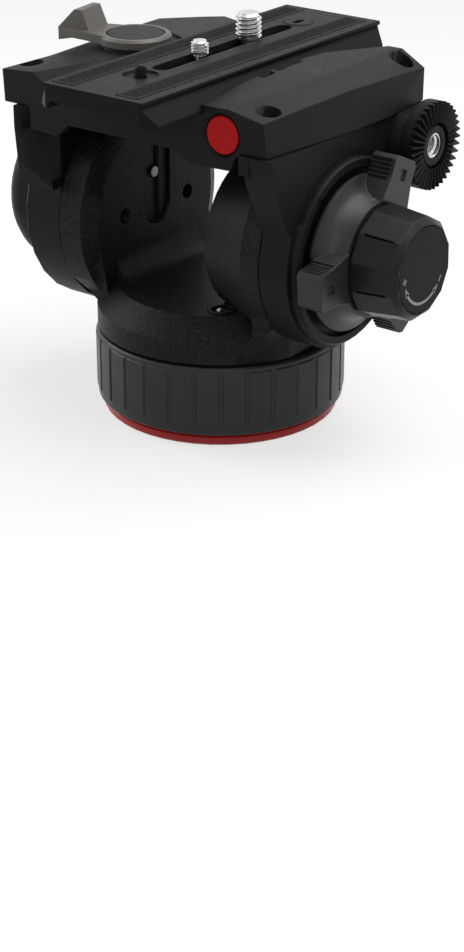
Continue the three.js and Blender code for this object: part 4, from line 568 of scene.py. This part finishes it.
BLACK_STEEL = Coating(
    "blackened_steel",
    "black_steel",
    colour=(0.02, 0.02, 0.021),
    shine=Shine.SILK,
    metal=0.5,
    edge=0.2 * MM,
)
ZINC = Turned("bright_zinc", "steel")
# Zinc painted darker as shade: on the slot screw between the yoke's arms, and on the spring seen
# through the gap by the cap
SHADED_ZINC = Turned("zinc_painted_shade", "steel", colour=(0.22, 0.22, 0.23), shine=Shine.SATIN)
INSERT = Turned("insert_zinc", "steel", axis=Axis.X, centre=(0.0, 37.67 * MM, 102.43 * MM))
# The clamp jaw's alloy, painted dark as the shade in the slit beside the plate
SHADED_JAW = Turned("jaw_alloy_painted_shade", "aluminium", colour=(0.09, 0.09, 0.092), shine=Shine.SATIN)
ALLOY = Turned("turned_alloy", "aluminium", colour=(0.62, 0.62, 0.63), shine=Shine.SILK)
SINTER = Turned("sintered_bronze", "bronze", colour=(0.45, 0.33, 0.18), shine=Shine.SATIN)
FLUID = Vial("level_vial_green", "vial_glass")


def pick(*pieces: bpy.types.Object) -> None:
    """Selects these pieces alone, and makes the first one active.

    Args:
        *pieces: The pieces to select.
    """
    bpy.ops.object.select_all(action="DESELECT")
    for piece in pieces:
        piece.select_set(True)
    bpy.context.view_layer.objects.active = pieces[0]


def open_all(piece: bpy.types.Object) -> None:
    """Opens a piece in edit mode with all of it selected.

    Args:
        piece: The piece.
    """
    pick(piece)
    bpy.ops.object.mode_set(mode="EDIT")
    bpy.ops.mesh.select_all(action="SELECT")


def made(name: str) -> bpy.types.Object:
    """Names the piece that an operator has just made, and its mesh.

    Args:
        name: The new name of both.

    Returns:
        The piece.
    """
    piece = bpy.context.object
    piece.name = name
    piece.data.name = name
    return piece


def place(piece: bpy.types.Object, matrix: Matrix) -> bpy.types.Object:
    """Moves a piece's mesh to its place in the frame.

    Args:
        piece: A piece modelled at the origin, along Z.
        matrix: Where it goes.

    Returns:
        The piece, with its object at the origin.
    """
    pick(piece)
    bpy.ops.object.transform_apply(location=True, rotation=True, scale=True)
    piece.data.transform(matrix)
    return piece


def applied(piece: bpy.types.Object, kind: str, **settings: object) -> bpy.types.Object:
    """Adds a modifier and applies it.

    Args:
        piece: The piece to change.
        kind: The modifier's type.
        **settings: The modifier's settings.

    Returns:
        The changed piece.
    """
    modifier = piece.modifiers.new(kind.lower(), kind)
    for key, setting in settings.items():
        setattr(modifier, key, setting)
    pick(piece)
    bpy.ops.object.modifier_apply(modifier=modifier.name)
    return piece


def joined(name: str, *pieces: bpy.types.Object) -> bpy.types.Object:
    """Joins pieces into one mesh.

    Args:
        name: The new piece's name.
        *pieces: The pieces to join, the first of which stays.

    Returns:
        The joined piece.
    """
    pick(*pieces)
    bpy.ops.object.join()
    return made(name)


def smoothed(piece: bpy.types.Object, angle: float = SHARP_ANGLE) -> bpy.types.Object:
    """Shades a piece smooth, apart from its real edges.

    Args:
        piece: The piece to shade.
        angle: The angle in degrees from which an edge stays sharp.

    Returns:
        The shaded piece.
    """
    pick(piece)
    bpy.ops.object.shade_smooth_by_angle(angle=math.radians(angle))
    return applied(piece, "WEIGHTED_NORMAL", keep_sharp=True, weight=LARGE_FACES)


def chamfered(piece: bpy.types.Object, width: float) -> bpy.types.Object:
    """Rounds the real edges of a piece.

    Args:
        piece: The piece.
        width: The width of the rounding in metres.

    Returns:
        The piece.
    """
    return applied(
        piece,
        "BEVEL",
        width=width,
        segments=WIDE_SEGMENTS,
        limit_method="ANGLE",
        angle_limit=math.radians(BEVEL_ANGLE),
        miter_outer="MITER_ARC",
    )


def softened(piece: bpy.types.Object, width: float) -> bpy.types.Object:
    """Takes the sharpness off a piece with a narrow bevel, of a width in metres."""
    return applied(piece, "BEVEL", width=width, segments=NARROW_SEGMENTS, limit_method="ANGLE")


def choose(piece: bpy.types.Object, kind: str, wanted: Callable[..., bool]) -> None:
    """Opens a piece in edit mode with some of its edges or faces selected.

    Args:
        piece: The piece.
        kind: EDGE or FACE.
        wanted: Says of an edge or face whether it is selected.
    """
    pick(piece)
    bpy.ops.object.mode_set(mode="EDIT")
    bpy.ops.mesh.select_mode(type=kind)
    bpy.ops.mesh.select_all(action="DESELECT")
    mesh = bmesh.from_edit_mesh(piece.data)
    for part in mesh.edges if kind == "EDGE" else mesh.faces:
        part.select = wanted(part)
    bmesh.update_edit_mesh(piece.data)


def box_between(name: str, low: Point, high: Point) -> bpy.types.Object:
    """A block between two corners, as a tool that cuts.

    Args:
        name: Its name.
        low: Its lowest corner in metres.
        high: Its highest corner in metres.

    Returns:
        The block.
    """
    bpy.ops.mesh.primitive_cube_add(size=1)
    block = made(name)
    block.scale = [top - bottom for bottom, top in zip(low, high)]
    return place(block, Matrix.Translation([(top + bottom) / 2 for bottom, top in zip(low, high)]))


def drum(name: str, radius: float, low: float, high: float, sides: int = 72) -> bpy.types.Object:
    """A round length along Z, between two heights in metres."""
    bpy.ops.mesh.primitive_cylinder_add(vertices=sides, radius=radius, depth=high - low)
    return place(made(name), Matrix.Translation((0.0, 0.0, (low + high) / 2)))


def cut(piece: bpy.types.Object, tool: bpy.types.Object) -> bpy.types.Object:
    """Cuts a tool out of a piece and throws the tool away.

    Args:
        piece: The piece.
        tool: What is cut out.

    Returns:
        The piece.
    """
    applied(piece, "BOOLEAN", object=tool, operation="DIFFERENCE", solver="EXACT")
    bpy.data.objects.remove(tool)
    return piece


def facing_x(x: float, y: float, z: float, side: int = 1) -> Matrix:
    """The place of a piece modelled along Z that faces +X, or -X where its side is -1."""
    return Matrix.Translation((x, y, z)) @ Matrix.Rotation(side * math.pi / 2, 4, "Y")


@dataclass
class Helix:
    """A screw thread round an axis along Z: a closed coil whose root lies in its core or wall."""

    crest: float
    root: float
    pitch: float
    turns: int
    steps: int = TURNED_SIDES
    rise: float = 0.39
    fall: float = 0.58
    end: float = 0.97

    def build(self, name: str) -> bpy.types.Object:
        """Winds the thread.

        Args:
            name: The thread's name.

        Returns:
            The thread, standing on the origin.
        """
        bpy.ops.mesh.primitive_plane_add(size=1)
        thread = made(name)
        # The profile's corners, in the order of the plane's vertices
        profile = (
            (self.root, 0.0),
            (self.crest, self.rise),
            (self.root, self.end),
            (self.crest, self.fall),
        )
        for vertex, (radius, share) in zip(thread.data.vertices, profile):
            vertex.co = (radius, 0.0, share * self.pitch)
        open_all(thread)
        bpy.ops.mesh.delete(type="ONLY_FACE")
        bpy.ops.object.mode_set(mode="OBJECT")
        applied(
            thread,
            "SCREW",
            axis="Z",
            angle=math.tau,
            screw_offset=self.pitch,
            iterations=self.turns,
            steps=self.steps,
            render_steps=self.steps,
        )
        open_all(thread)
        bpy.ops.mesh.fill_holes(sides=4)
        bpy.ops.mesh.select_all(action="SELECT")
        bpy.ops.mesh.normals_make_consistent(inside=False)
        bpy.ops.object.mode_set(mode="OBJECT")
        return thread


@dataclass
class Assembly:
    """A sub-assembly of the head, with the frame's pieces and the body of each."""

    nodes: dict[str, bpy.types.Object]
    homes: dict[str, str]
    flat_angle: float = 0.3
    weld: float = 0.002 * MM

    def welded(self, node: str) -> bpy.types.Object:
        """Copies a rigid piece and merges its loose triangles.

        Args:
            node: The name of the piece in the frame.

        Returns:
            The copy, with whole flat faces.
        """
        mesh = self.nodes[node].data.copy()
        piece = bpy.data.objects.new(f"{node}_finished", mesh)
        bpy.context.scene.collection.objects.link(piece)
        open_all(piece)
        bpy.ops.mesh.remove_doubles(threshold=self.weld)
        bpy.ops.mesh.dissolve_limited(angle_limit=math.radians(self.flat_angle))
        bpy.ops.object.mode_set(mode="OBJECT")
        return piece

    def shown(
        self,
        piece: bpy.types.Object,
        node: str,
        finish: Finish,
        angle: float = SHARP_ANGLE,
    ) -> bpy.types.Object:
        """Shades a piece smoothly and shows it in a node's place.

        Args:
            piece: The piece.
            node: The name of the piece of the frame that it stands for.
            finish: Its finish.
            angle: The angle in degrees from which an edge stays sharp.

        Returns:
            The piece that stands for the node.
        """
        smoothed(piece, angle)
        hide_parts(node)
        return self.finished(piece, self.homes[node], finish)

    def refine(
        self,
        node: str,
        finish: Finish,
        angle: float = SHARP_ANGLE,
        bevel: float = 0.0,
    ) -> bpy.types.Object:
        """Shows a rigid piece with welded, smoothly shaded faces and its finish.

        Args:
            node: The name of the piece in the frame.
            finish: Its finish.
            angle: The angle in degrees from which an edge stays sharp.
            bevel: The width in metres of the bevel on its edges, or 0 for none.

        Returns:
            The piece that stands for the node.
        """
        piece = self.welded(node)
        if bevel:
            chamfered(piece, bevel)
        return self.shown(piece, node, finish, angle)

    def finished(self, piece: bpy.types.Object, body: str, finish: Finish) -> bpy.types.Object:
        """Gives a piece its finish and its body, and reports it.

        Args:
            piece: The piece.
            body: The body that it rides on.
            finish: Its finish.

        Returns:
            The piece.
        """
        piece.data.materials.clear()
        piece.data.materials.append(finish.material())
        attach(piece, body)
        LOG.info("%s: %s on %s", piece.name, finish.name, body)
        return piece

    def paint(self, node: str, finish: Finish) -> None:
        """Gives a hidden piece of the frame its finish and leaves its shape alone.

        Args:
            node: The name of the piece in the frame.
            finish: Its finish.
        """
        mesh = self.nodes[node].data
        mesh.materials.clear()
        mesh.materials.append(finish.material())
        LOG.info("%s: %s", node, finish.name)


@dataclass
class Base(Assembly):
    """The fixed base, its drag collar and the toothed adapter ring in its recess."""

    collar_edge: float = 0.35 * MM

    def build(self) -> None:
        """Dresses the pieces of the base."""
        self.refine("base_housing", CAST)
        self.refine("red_trim_ring", RED)
        self.refine("pan_drag_ring", COLLAR, FACET_ANGLE, self.collar_edge)
        self.refine("adapter_ring", MOULDED)
        self.refine("adapter_insert", ALLOY)
        self.refine("tripod_bush", ZINC)
        self.refine("adapter_set_screw", ZINC)
        self.paint("pan_spindle", ZINC)


@dataclass
class Yoke(Assembly):
    """The panning yoke with its level, its fluid units and the pan lock."""

    knob_edge: float = 0.4 * MM

    def build(self) -> None:
        """Dresses the pieces of the yoke."""
        self.refine("yoke_frame", BRIDGE)
        self.refine("level_cup", MOULDED)
        self.refine("level_vial", FLUID)
        self.refine("slot_screw", SHADED_ZINC)
        self.refine("pan_lock_knob", KNOB, bevel=self.knob_edge)
        self.paint("pan_rotor", ALLOY)
        self.paint("pan_bearing", SINTER)
        self.paint("axle_bush", SINTER)
        self.paint("tilt_fluid_cup", ALLOY)


@dataclass
class TiltHead(Assembly):
    """The platform between the arms, with its cheeks, cap and rosettes."""

    teeth: int = 36
    rim: float = 16.0 * MM
    tooth_root: float = 8.4 * MM
    valley_rim: float = 2.5 * MM
    valley_root: float = 1.1 * MM
    crest_share: float = 0.16
    hub: float = 7.3 * MM
    hub_drop: float = 0.8 * MM
    pocket: float = 4.7 * MM
    thickness: float = 6.0 * MM
    rounding: float = 0.35 * MM
    insert_rim: float = 4.5 * MM
    insert_bore: float = 3.9 * MM
    insert_root: float = 4.1 * MM
    insert_crest: float = 3.2 * MM
    insert_pitch: float = 1.5 * MM
    insert_turns: int = 5
    roof_angle: float = 24.0

    def ridges(self) -> bpy.types.Object:
        """The ridges of a rosette, whose valleys deepen towards the rim.

        Returns:
            The ring of ridges, facing +Z at the origin.
        """
        bpy.ops.mesh.primitive_cube_add(size=1)
        ridge = made("ridge")
        half = math.pi / self.teeth
        for vertex in ridge.data.vertices:
            outer, left, upper = (share > 0 for share in vertex.co)
            radius = self.rim if outer else self.tooth_root
            angle = half * (self.crest_share if upper else 1.0) * (1 if left else -1)
            valley = self.valley_rim if outer else self.valley_root
            height = 0.0 if upper else -valley
            vertex.co = (radius * math.cos(angle), radius * math.sin(angle), height)
        open_all(ridge)
        bpy.ops.mesh.spin(
            steps=self.teeth - 1,
            angle=math.tau * (self.teeth - 1) / self.teeth,
            dupli=True,
            center=(0.0, 0.0, 0.0),
            axis=Axis.Z.value,
        )
        bpy.ops.object.mode_set(mode="OBJECT")
        return ridge

    def rosette(self, node: str, side: int) -> None:
        """Models the toothed ring that takes the pan bar.

        Args:
            node: The name of the ring in the frame.
            side: 1 for the ring that faces +X, and -1 for the other.
        """
        low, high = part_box(node)
        middle = (low + high) / 2
        face = high.x if side > 0 else low.x
        depth = self.thickness
        disc = chamfered(drum("disc", self.rim, -depth, -self.valley_rim), self.rounding)
        hub = chamfered(drum("hub", self.hub, -depth / 2, -self.hub_drop), self.rounding)
        for part in (disc, hub):
            cut(part, drum("pocket", self.pocket, -2 * depth, depth, TURNED_SIDES))
        ring = joined(f"{node}_toothed", disc, hub, self.ridges())
        self.shown(place(ring, facing_x(face, middle.y, middle.z, side)), node, CAST, CRISP_ANGLE)

    def insert(self, node: str, side: int) -> None:
        """Models the threaded insert of a rosette.

        Args:
            node: The name of the insert in the frame.
            side: 1 for the insert that faces +X, and -1 for the other.
        """
        low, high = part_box(node)
        middle = (low + high) / 2
        inner = low.x if side > 0 else high.x
        length = high.x - low.x
        tube = drum("tube", self.insert_rim, 0.0, length, TURNED_SIDES)
        cut(tube, drum("bore", self.insert_bore, -length, 2 * length, TURNED_SIDES))
        helix = Helix(self.insert_crest, self.insert_root, self.insert_pitch, self.insert_turns)
        whole = joined(f"{node}_threaded", tube, helix.build("thread"))
        seated = place(whole, facing_x(inner, middle.y, middle.z, side))
        self.shown(seated, node, INSERT, CRISP_ANGLE)

    def build(self) -> None:
        """Dresses the pieces that tilt together."""
        self.refine("platform_body", ROOF, self.roof_angle)
        self.refine("left_cheek", CAST)
        self.refine("right_cheek", CAST)
        self.refine("left_cap", MOULDED)
        for name, side in (("right", 1), ("left", -1)):
            self.rosette(f"{name}_rosette", side)
            self.insert(f"{name}_rosette_nut", side)
        self.refine("badge_disc", BADGE)
        for corner in ("front_right", "rear_right", "front_left", "rear_left"):
            self.refine(f"casing_screw_{corner}", BLACK_STEEL)
        self.refine("lever_post", ZINC)
        self.paint("tilt_axle", ZINC)
        self.paint("tilt_rotor", ALLOY)
        self.paint("counterbalance_spring", SHADED_ZINC)


@dataclass
class Controls(Assembly):
    """The tilt lock ring and the tilt drag knob with its marks."""

    face: Vector = field(default_factory=lambda: Vector((88.4, 0.0, 71.2)) * MM)
    arc_radius: float = 12.0 * MM
    arc_width: float = 1.0 * MM
    arc_from: float = 208.0
    arc_sweep: float = 101.0
    arc_start: float = 0.01 * MM
    arc_steps: int = 32
    arrow_flatness: float = 0.55
    plus_angle: float = 185.0
    minus_angle: float = 330.0
    mark_radius: float = 12.2 * MM
    mark_length: float = 2.4 * MM
    mark_width: float = 0.6 * MM
    ink: float = 0.05 * MM
    wings: int = 3
    wing_phase: float = 65.0
    wing_half: float = 7.0 * MM
    wing_back: float = 59.0 * MM
    wing_face: float = 70.4 * MM
    wing_edge: float = 1.2 * MM
    wing_skin: float = 0.6 * MM
    recess_place: float = 30.0 * MM
    recess_half: float = 2.0 * MM
    recess_depth: float = 0.8 * MM
    grooves_from: float = 26.4 * MM
    groove_pitch: float = 1.75 * MM
    groove_count: int = 5
    groove: float = 0.9 * MM
    knob_edge: float = 0.4 * MM

    def bar(self, angle: float, turn: float) -> bpy.types.Object:
        """One stroke of the plus or minus sign.

        Args:
            angle: Where the sign stands around the face, in degrees.
            turn: How far the stroke is turned from the radius, in degrees.

        Returns:
            The stroke, flat at the origin.
        """
        bpy.ops.mesh.primitive_plane_add(size=1)
        stroke = made("stroke")
        stroke.scale = (self.mark_length, self.mark_width, 1.0)
        turned = Matrix.Rotation(math.radians(angle), 4, "Z")
        shift = Matrix.Translation((self.mark_radius, 0.0, 0.0))
        return place(stroke, turned @ shift @ Matrix.Rotation(math.radians(turn), 4, "Z"))

    def arrowhead(self, angle: float, side: int) -> bpy.types.Object:
        """The head at one end of the arc.

        Args:
            angle: Where the arc ends, in degrees.
            side: 1 when it points on around the arc, and -1 when it points back.

        Returns:
            The head, flat at the origin.
        """
        bpy.ops.mesh.primitive_circle_add(vertices=3, radius=self.mark_length, fill_type="NGON")
        head = made("arrowhead")
        head.scale = (self.arrow_flatness, 1.0, 1.0)
        turned = Matrix.Rotation(math.radians(angle), 4, "Z")
        shift = Matrix.Translation((self.arc_radius, 0.0, 0.0))
        flip = Matrix.Rotation(0.0 if side > 0 else math.pi, 4, "Z")
        return place(head, turned @ shift @ flip)

    def arc(self) -> bpy.types.Object:
        """The curved line between the arrowheads, spun from a short stroke.

        Returns:
            The line, flat at the origin.
        """
        bpy.ops.mesh.primitive_plane_add(size=1)
        line = made("arc")
        line.scale = (self.arc_width, self.arc_start, 1.0)
        start = Matrix.Rotation(math.radians(self.arc_from), 4, "Z")
        place(line, start @ Matrix.Translation((self.arc_radius, 0.0, 0.0)))
        ahead = start @ Vector(Axis.Y.value)
        choose(line, "EDGE", lambda edge: all(vertex.co @ ahead > 0.0 for vertex in edge.verts))
        bpy.ops.mesh.spin(
            steps=self.arc_steps,
            angle=math.radians(self.arc_sweep),
            center=(0.0, 0.0, 0.0),
            axis=(0.0, 0.0, -1.0),
        )
        bpy.ops.object.mode_set(mode="OBJECT")
        return line

    def marks(self) -> None:
        """Prints the plus, the minus and the arrow on the knob's face."""
        end = self.arc_from + self.arc_sweep
        strokes = [
            self.arc(),
            self.arrowhead(self.arc_from, -1),
            self.arrowhead(end, 1),
            self.bar(self.plus_angle, 0.0),
            self.bar(self.plus_angle, 90.0),
            self.bar(self.minus_angle, 90.0),
        ]
        ink = joined("knob_marks", *strokes)
        turned = Matrix.Rotation(math.radians(90.0), 4, "Z")
        ink.data.transform(facing_x(*(self.face + Vector((self.ink, 0.0, 0.0)))) @ turned)
        applied(ink, "SOLIDIFY", thickness=self.ink, offset=0.0)
        self.finished(ink, "tilt_drag", MARKS)

    def wing_tools(self) -> bpy.types.Object:
        """The grooves on the plain flank of each wing, and the recess in its face.

        Returns:
            One tool that cuts them all.
        """
        face, edge, skin = self.wing_face, self.wing_edge, self.wing_skin
        recess = box_between(
            "recess",
            (face - self.recess_depth, self.recess_place - self.recess_half, -self.recess_half),
            (face + edge, self.recess_place + self.recess_half, self.recess_half),
        )
        steps = range(self.groove_count)
        grooves = [
            box_between(
                "groove",
                (self.wing_back, start, -self.wing_half - edge),
                (face - edge, start + self.groove, skin - self.wing_half),
            )
            for start in (self.grooves_from + step * self.groove_pitch for step in steps)
        ]
        tools = [joined("wing_tool", recess, *grooves)]
        while len(tools) < self.wings:
            copy = tools[0].copy()
            copy.data = tools[0].data.copy()
            bpy.context.scene.collection.objects.link(copy)
            tools.append(copy)
        axis = Matrix.Translation((0.0, self.face.y, self.face.z))
        for turn, tool in enumerate(tools):
            angle = math.radians(self.wing_phase) + math.tau * turn / self.wings
            tool.data.transform(axis @ Matrix.Rotation(angle, 4, "X"))
        return joined("wing_tools", *tools)

    def build(self) -> None:
        """Dresses the controls and prints the knob."""
        ring = cut(self.welded("tilt_lock_ring"), self.wing_tools())
        self.shown(ring, "tilt_lock_ring", LOCK)
        self.refine("tilt_drag_knob", KNOB, FACET_ANGLE, self.knob_edge)
        self.refine("knob_face_disc", FACE)
        self.marks()


@dataclass
class GripStrip:
    """A rubber strip on the camera plate, with rows of small pyramids."""

    node: str
    pitch: float = 0.85 * MM
    stud: float = 0.36 * MM
    crown: float = 0.17 * MM
    rise: float = 0.22 * MM
    margin: float = 0.8 * MM
    corner: float = 1.6 * MM
    corner_steps: int = 4
    edge: float = 0.15 * MM
    slack: float = 0.01 * MM
    underside: float = -0.9

    def round_corners(self, slab: bpy.types.Object) -> None:
        """Rounds the four upright edges of the strip.

        Args:
            slab: The strip.
        """

        def upright(edge: bmesh.types.BMEdge) -> bool:
            """Whether an edge stands upright."""
            along = edge.verts[0].co - edge.verts[1].co
            return abs(along.x) + abs(along.y) < self.slack

        choose(slab, "EDGE", upright)
        bpy.ops.mesh.bevel(offset=self.corner, segments=self.corner_steps)
        bpy.ops.object.mode_set(mode="OBJECT")

    def build(self) -> bpy.types.Object:
        """Models the strip.

        Returns:
            The strip, in place.
        """
        low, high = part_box(self.node)
        middle = (low + high) / 2
        size = high - low
        bpy.ops.mesh.primitive_cube_add(size=1)
        slab = made("slab")
        slab.scale = (size.x, size.y, size.z - self.rise)
        place(slab, Matrix.Translation(middle - Vector((0.0, 0.0, self.rise / 2))))
        self.round_corners(slab)
        softened(slab, self.edge)
        columns = int((size.x - 2 * self.margin) / self.pitch)
        rows = int((size.y - 2 * self.margin) / self.pitch)
        bpy.ops.mesh.primitive_cone_add(
            vertices=4,
            radius1=self.stud,
            radius2=self.crown,
            depth=self.rise,
        )
        studs = made("studs")
        first = Vector(((1 - columns) * self.pitch, (1 - rows) * self.pitch, size.z - self.rise))
        place(studs, Matrix.Translation(middle + first / 2) @ Matrix.Rotation(math.pi / 4, 4, "Z"))
        self.open_base(studs)
        for count, offset in ((columns, (self.pitch, 0.0, 0.0)), (rows, (0.0, self.pitch, 0.0))):
            applied(
                studs,
                "ARRAY",
                count=count,
                use_relative_offset=False,
                use_constant_offset=True,
                constant_offset_displace=offset,
            )
        return joined(f"{self.node}_studded", slab, studs)

    def open_base(self, stud: bpy.types.Object) -> None:
        """Deletes the underside of a stud, which the strip hides.

        Args:
            stud: The first stud.
        """
        choose(stud, "FACE", lambda face: face.normal.z < self.underside)
        bpy.ops.mesh.delete(type="FACE")
        bpy.ops.object.mode_set(mode="OBJECT")


@dataclass
class CameraScrew:
    """A screw that holds the camera: a slotted head, a core and a helical thread."""

    node: str
    radius: float
    pitch: float
    neck: float
    plate_top: float = 134.2 * MM
    head: float = 3.0 * MM
    slot: float = 1.4 * MM
    slot_depth: float = 1.0 * MM
    edge: float = 0.3 * MM
    core_depth: float = 0.55
    root_depth: float = 0.62

    def disc(self, radius: float, low: float, high: float) -> bpy.types.Object:
        """A round length of the screw between two heights, with bevelled rims."""
        return softened(drum("disc", radius, low, high, TURNED_SIDES), self.edge)

    def build(self) -> bpy.types.Object:
        """Models the screw.

        Returns:
            The screw, in place.
        """
        low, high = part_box(self.node)
        middle = (low + high) / 2
        width, half, depth = high.y - low.y, self.slot / 2, self.slot_depth
        head = self.disc(width / 2, low.z, low.z + self.head)
        cut(head, box_between("key", (-half, -width, low.z - depth), (half, width, low.z + depth)))
        start = self.plate_top + self.edge
        neck = self.disc(self.neck, low.z + self.head / 2, start)
        core = self.disc(self.radius - self.core_depth * self.pitch, self.plate_top, high.z)
        turns = int((high.z - start) / self.pitch)
        pitch = (high.z - start) / (turns + 1)
        helix = Helix(self.radius, self.radius - self.root_depth * self.pitch, pitch, turns)
        thread = place(helix.build("thread"), Matrix.Translation((0.0, 0.0, start)))
        screw = joined(f"{self.node}_threaded", head, neck, core, thread)
        return smoothed(place(screw, Matrix.Translation((middle.x, middle.y, 0.0))), BEVEL_ANGLE)


@dataclass
class QuickRelease(Assembly):
    """The sliding camera plate, its screws, its grip strips and the clamp lever."""

    lever_edge: float = 0.7 * MM
    screws: tuple[CameraScrew, ...] = (
        CameraScrew("camera_screw_large", radius=4.76 * MM, pitch=1.59 * MM, neck=3.1 * MM),
        CameraScrew("camera_screw_small", radius=3.17 * MM, pitch=1.27 * MM, neck=2.5 * MM),
    )

    def build(self) -> None:
        """Dresses the plate and models its strips and threads."""
        self.refine("camera_plate", PLATE)
        self.refine("plate_end_bush", PLATE)
        self.refine("video_pin", MOULDED)
        self.refine("washer_large", MOULDED)
        self.refine("washer_small", MOULDED)
        for screw in self.screws:
            threaded = screw.build()
            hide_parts(screw.node)
            self.finished(threaded, self.homes[screw.node], ZINC)
        for side in ("left", "right"):
            node = f"grip_strip_{side}"
            strip = GripStrip(node).build()
            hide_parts(node)
            self.finished(strip, "plate", STRIP)
        self.refine("clamp_lever", LEVER, bevel=self.lever_edge)
        self.refine("lever_cap", MOULDED)
        self.refine("clamp_jaw", SHADED_JAW)


@dataclass(frozen=True)
class Softbox:
    """A square lamp that points at the head."""

    name: str
    azimuth: float
    elevation: float
    distance: float
    size: float
    level: float

    def build(self, target: Vector) -> None:
        """Hangs the lamp.

        Args:
            target: The point that it faces.
        """
        lamp = bpy.data.lights.new(self.name, "AREA")
        lamp.size = self.size
        lamp.energy = self.level * (math.pi * self.distance) ** 2
        turned = Matrix.Rotation(math.radians(self.azimuth), 4, "Z")
        raised = Matrix.Rotation(math.radians(-self.elevation), 4, "Y")
        away = (turned @ raised) @ Vector((self.distance, 0.0, 0.0))
        light = bpy.data.objects.new(self.name, lamp)
        light.location = target + away
        light.rotation_euler = away.to_track_quat("Z", "Y").to_euler()
        bpy.context.scene.collection.objects.link(light)


@dataclass
class Studio:
    """The camera, the pale floor and the soft light around the head."""

    eye: Vector = field(default_factory=lambda: Vector((447.606, -584.272, 323.864)) * MM)
    azimuth: float = 37.12
    elevation: float = 25.91
    focal: float = 2101.78
    frame_height: float = 952.0
    sensor: float = 36.0
    nearest: float = 0.01
    floor_size: float = 6.0
    floor_tone: float = 0.4
    floor_bounce: float = 0.25
    floor_glow: float = 0.66
    floor_cloud: float = 0.8
    floor_drift: float = 0.015
    floor_rough: float = 0.9
    floor_gloss: float = 0.1
    fill: float = 0.22
    lamps: tuple[Softbox, ...] = (
        Softbox("key_front", azimuth=-55.0, elevation=30.0, distance=0.9, size=0.4, level=0.08),
        Softbox("top", azimuth=60.0, elevation=70.0, distance=0.8, size=0.7, level=0.7),
        Softbox("side_right", azimuth=8.0, elevation=52.0, distance=0.9, size=0.5, level=0.2),
        Softbox("side_left", azimuth=-162.0, elevation=24.0, distance=0.9, size=0.5, level=0.32),
    )

    def camera(self) -> None:
        """Sets up the camera at the photographed angle, with its lens worked out from pixels."""
        data = bpy.data.cameras.new("camera")
        data.sensor_fit = "VERTICAL"
        data.sensor_height = self.sensor
        data.lens = self.sensor * self.focal / self.frame_height
        data.clip_start = self.nearest
        camera = bpy.data.objects.new("camera", data)
        camera.location = self.eye
        tilt = math.radians(90.0 - self.elevation)
        camera.rotation_euler = (tilt, 0.0, math.radians(self.azimuth))
        bpy.context.scene.collection.objects.link(camera)
        bpy.context.scene.camera = camera

    def floor(self) -> None:
        """Lays the floor, which shows as a pale sweep."""
        bpy.ops.mesh.primitive_plane_add(size=self.floor_size)
        ground = made("floor")
        recipe = Recipe("floor_pale")
        tone = (self.floor_tone,) * 3
        bounce = (self.floor_bounce,) * 3
        darker = (self.floor_tone * (1 - self.floor_drift),) * 3
        pale = recipe.blend(recipe.noise(self.floor_cloud), darker, tone)
        camera, glossy, through = (
            recipe.node("ShaderNodeLightPath", output=f"Is {ray} Ray")
            for ray in ("Camera", "Glossy", "Transmission")
        )
        seen = camera + glossy + through > MIDDLE
        recipe.surface(
            Base_Color=recipe.blend(seen, bounce, pale),
            Roughness=self.floor_rough,
            Specular_IOR_Level=self.floor_gloss,
            Emission_Color=recipe.blend(seen, BLACK, WHITE),
            Emission_Strength=self.floor_glow,
        )
        ground.data.materials.append(recipe.material)
        ground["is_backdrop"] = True

    def world(self) -> None:
        """Fills the room with soft light, white where it is seen."""
        world = bpy.data.worlds.new("room")
        bpy.context.scene.world = world
        world.use_nodes = True
        tree = world.node_tree
        tree.nodes.clear()
        path = tree.nodes.new("ShaderNodeLightPath")
        seen = path.outputs["Is Camera Ray"]
        for ray in ("Is Glossy Ray", "Is Transmission Ray"):
            either = tree.nodes.new("ShaderNodeMath")
            either.operation = "MAXIMUM"
            tree.links.new(seen, either.inputs[0])
            tree.links.new(path.outputs[ray], either.inputs[1])
            seen = either.outputs[0]
        strength = tree.nodes.new("ShaderNodeMapRange")
        strength.inputs["To Min"].default_value = self.fill
        strength.inputs["To Max"].default_value = 1.0
        back = tree.nodes.new("ShaderNodeBackground")
        output = tree.nodes.new("ShaderNodeOutputWorld")
        tree.links.new(seen, strength.inputs["Value"])
        tree.links.new(strength.outputs["Result"], back.inputs["Strength"])
        tree.links.new(back.outputs["Background"], output.inputs["Surface"])
        back.inputs["Color"].default_value = (*WHITE, 1.0)

    def build(self, target: Vector) -> None:
        """Sets up the studio around the head.

        Args:
            target: The middle of the head.
        """
        self.camera()
        self.floor()
        self.world()
        for lamp in self.lamps:
            lamp.build(target)
        bpy.context.scene.view_settings.view_transform = "Standard"


def extent() -> list[list[float]]:
    """The whole object's box as plain numbers."""
    return [[float(value) for value in corner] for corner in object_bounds()]


def main() -> None:
    """Builds the head's looks in order and works out its box before and after."""
    logging.basicConfig(level=logging.INFO, format="%(name)s: %(message)s")
    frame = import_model()
    sizes = {"cad": extent()}
    bodies = frame["record"]["behaviour"]["bodies"]
    homes = {name: body for body, names in bodies.items() for name in names}
    low, high = (Vector(corner) for corner in sizes["cad"])
    Studio().build((low + high) / 2)
    for assembly in (Base, Yoke, TiltHead, Controls, QuickRelease):
        assembly(frame["nodes"], homes).build()
    sizes["visual"] = extent()


if __name__ == "__main__":
    main()
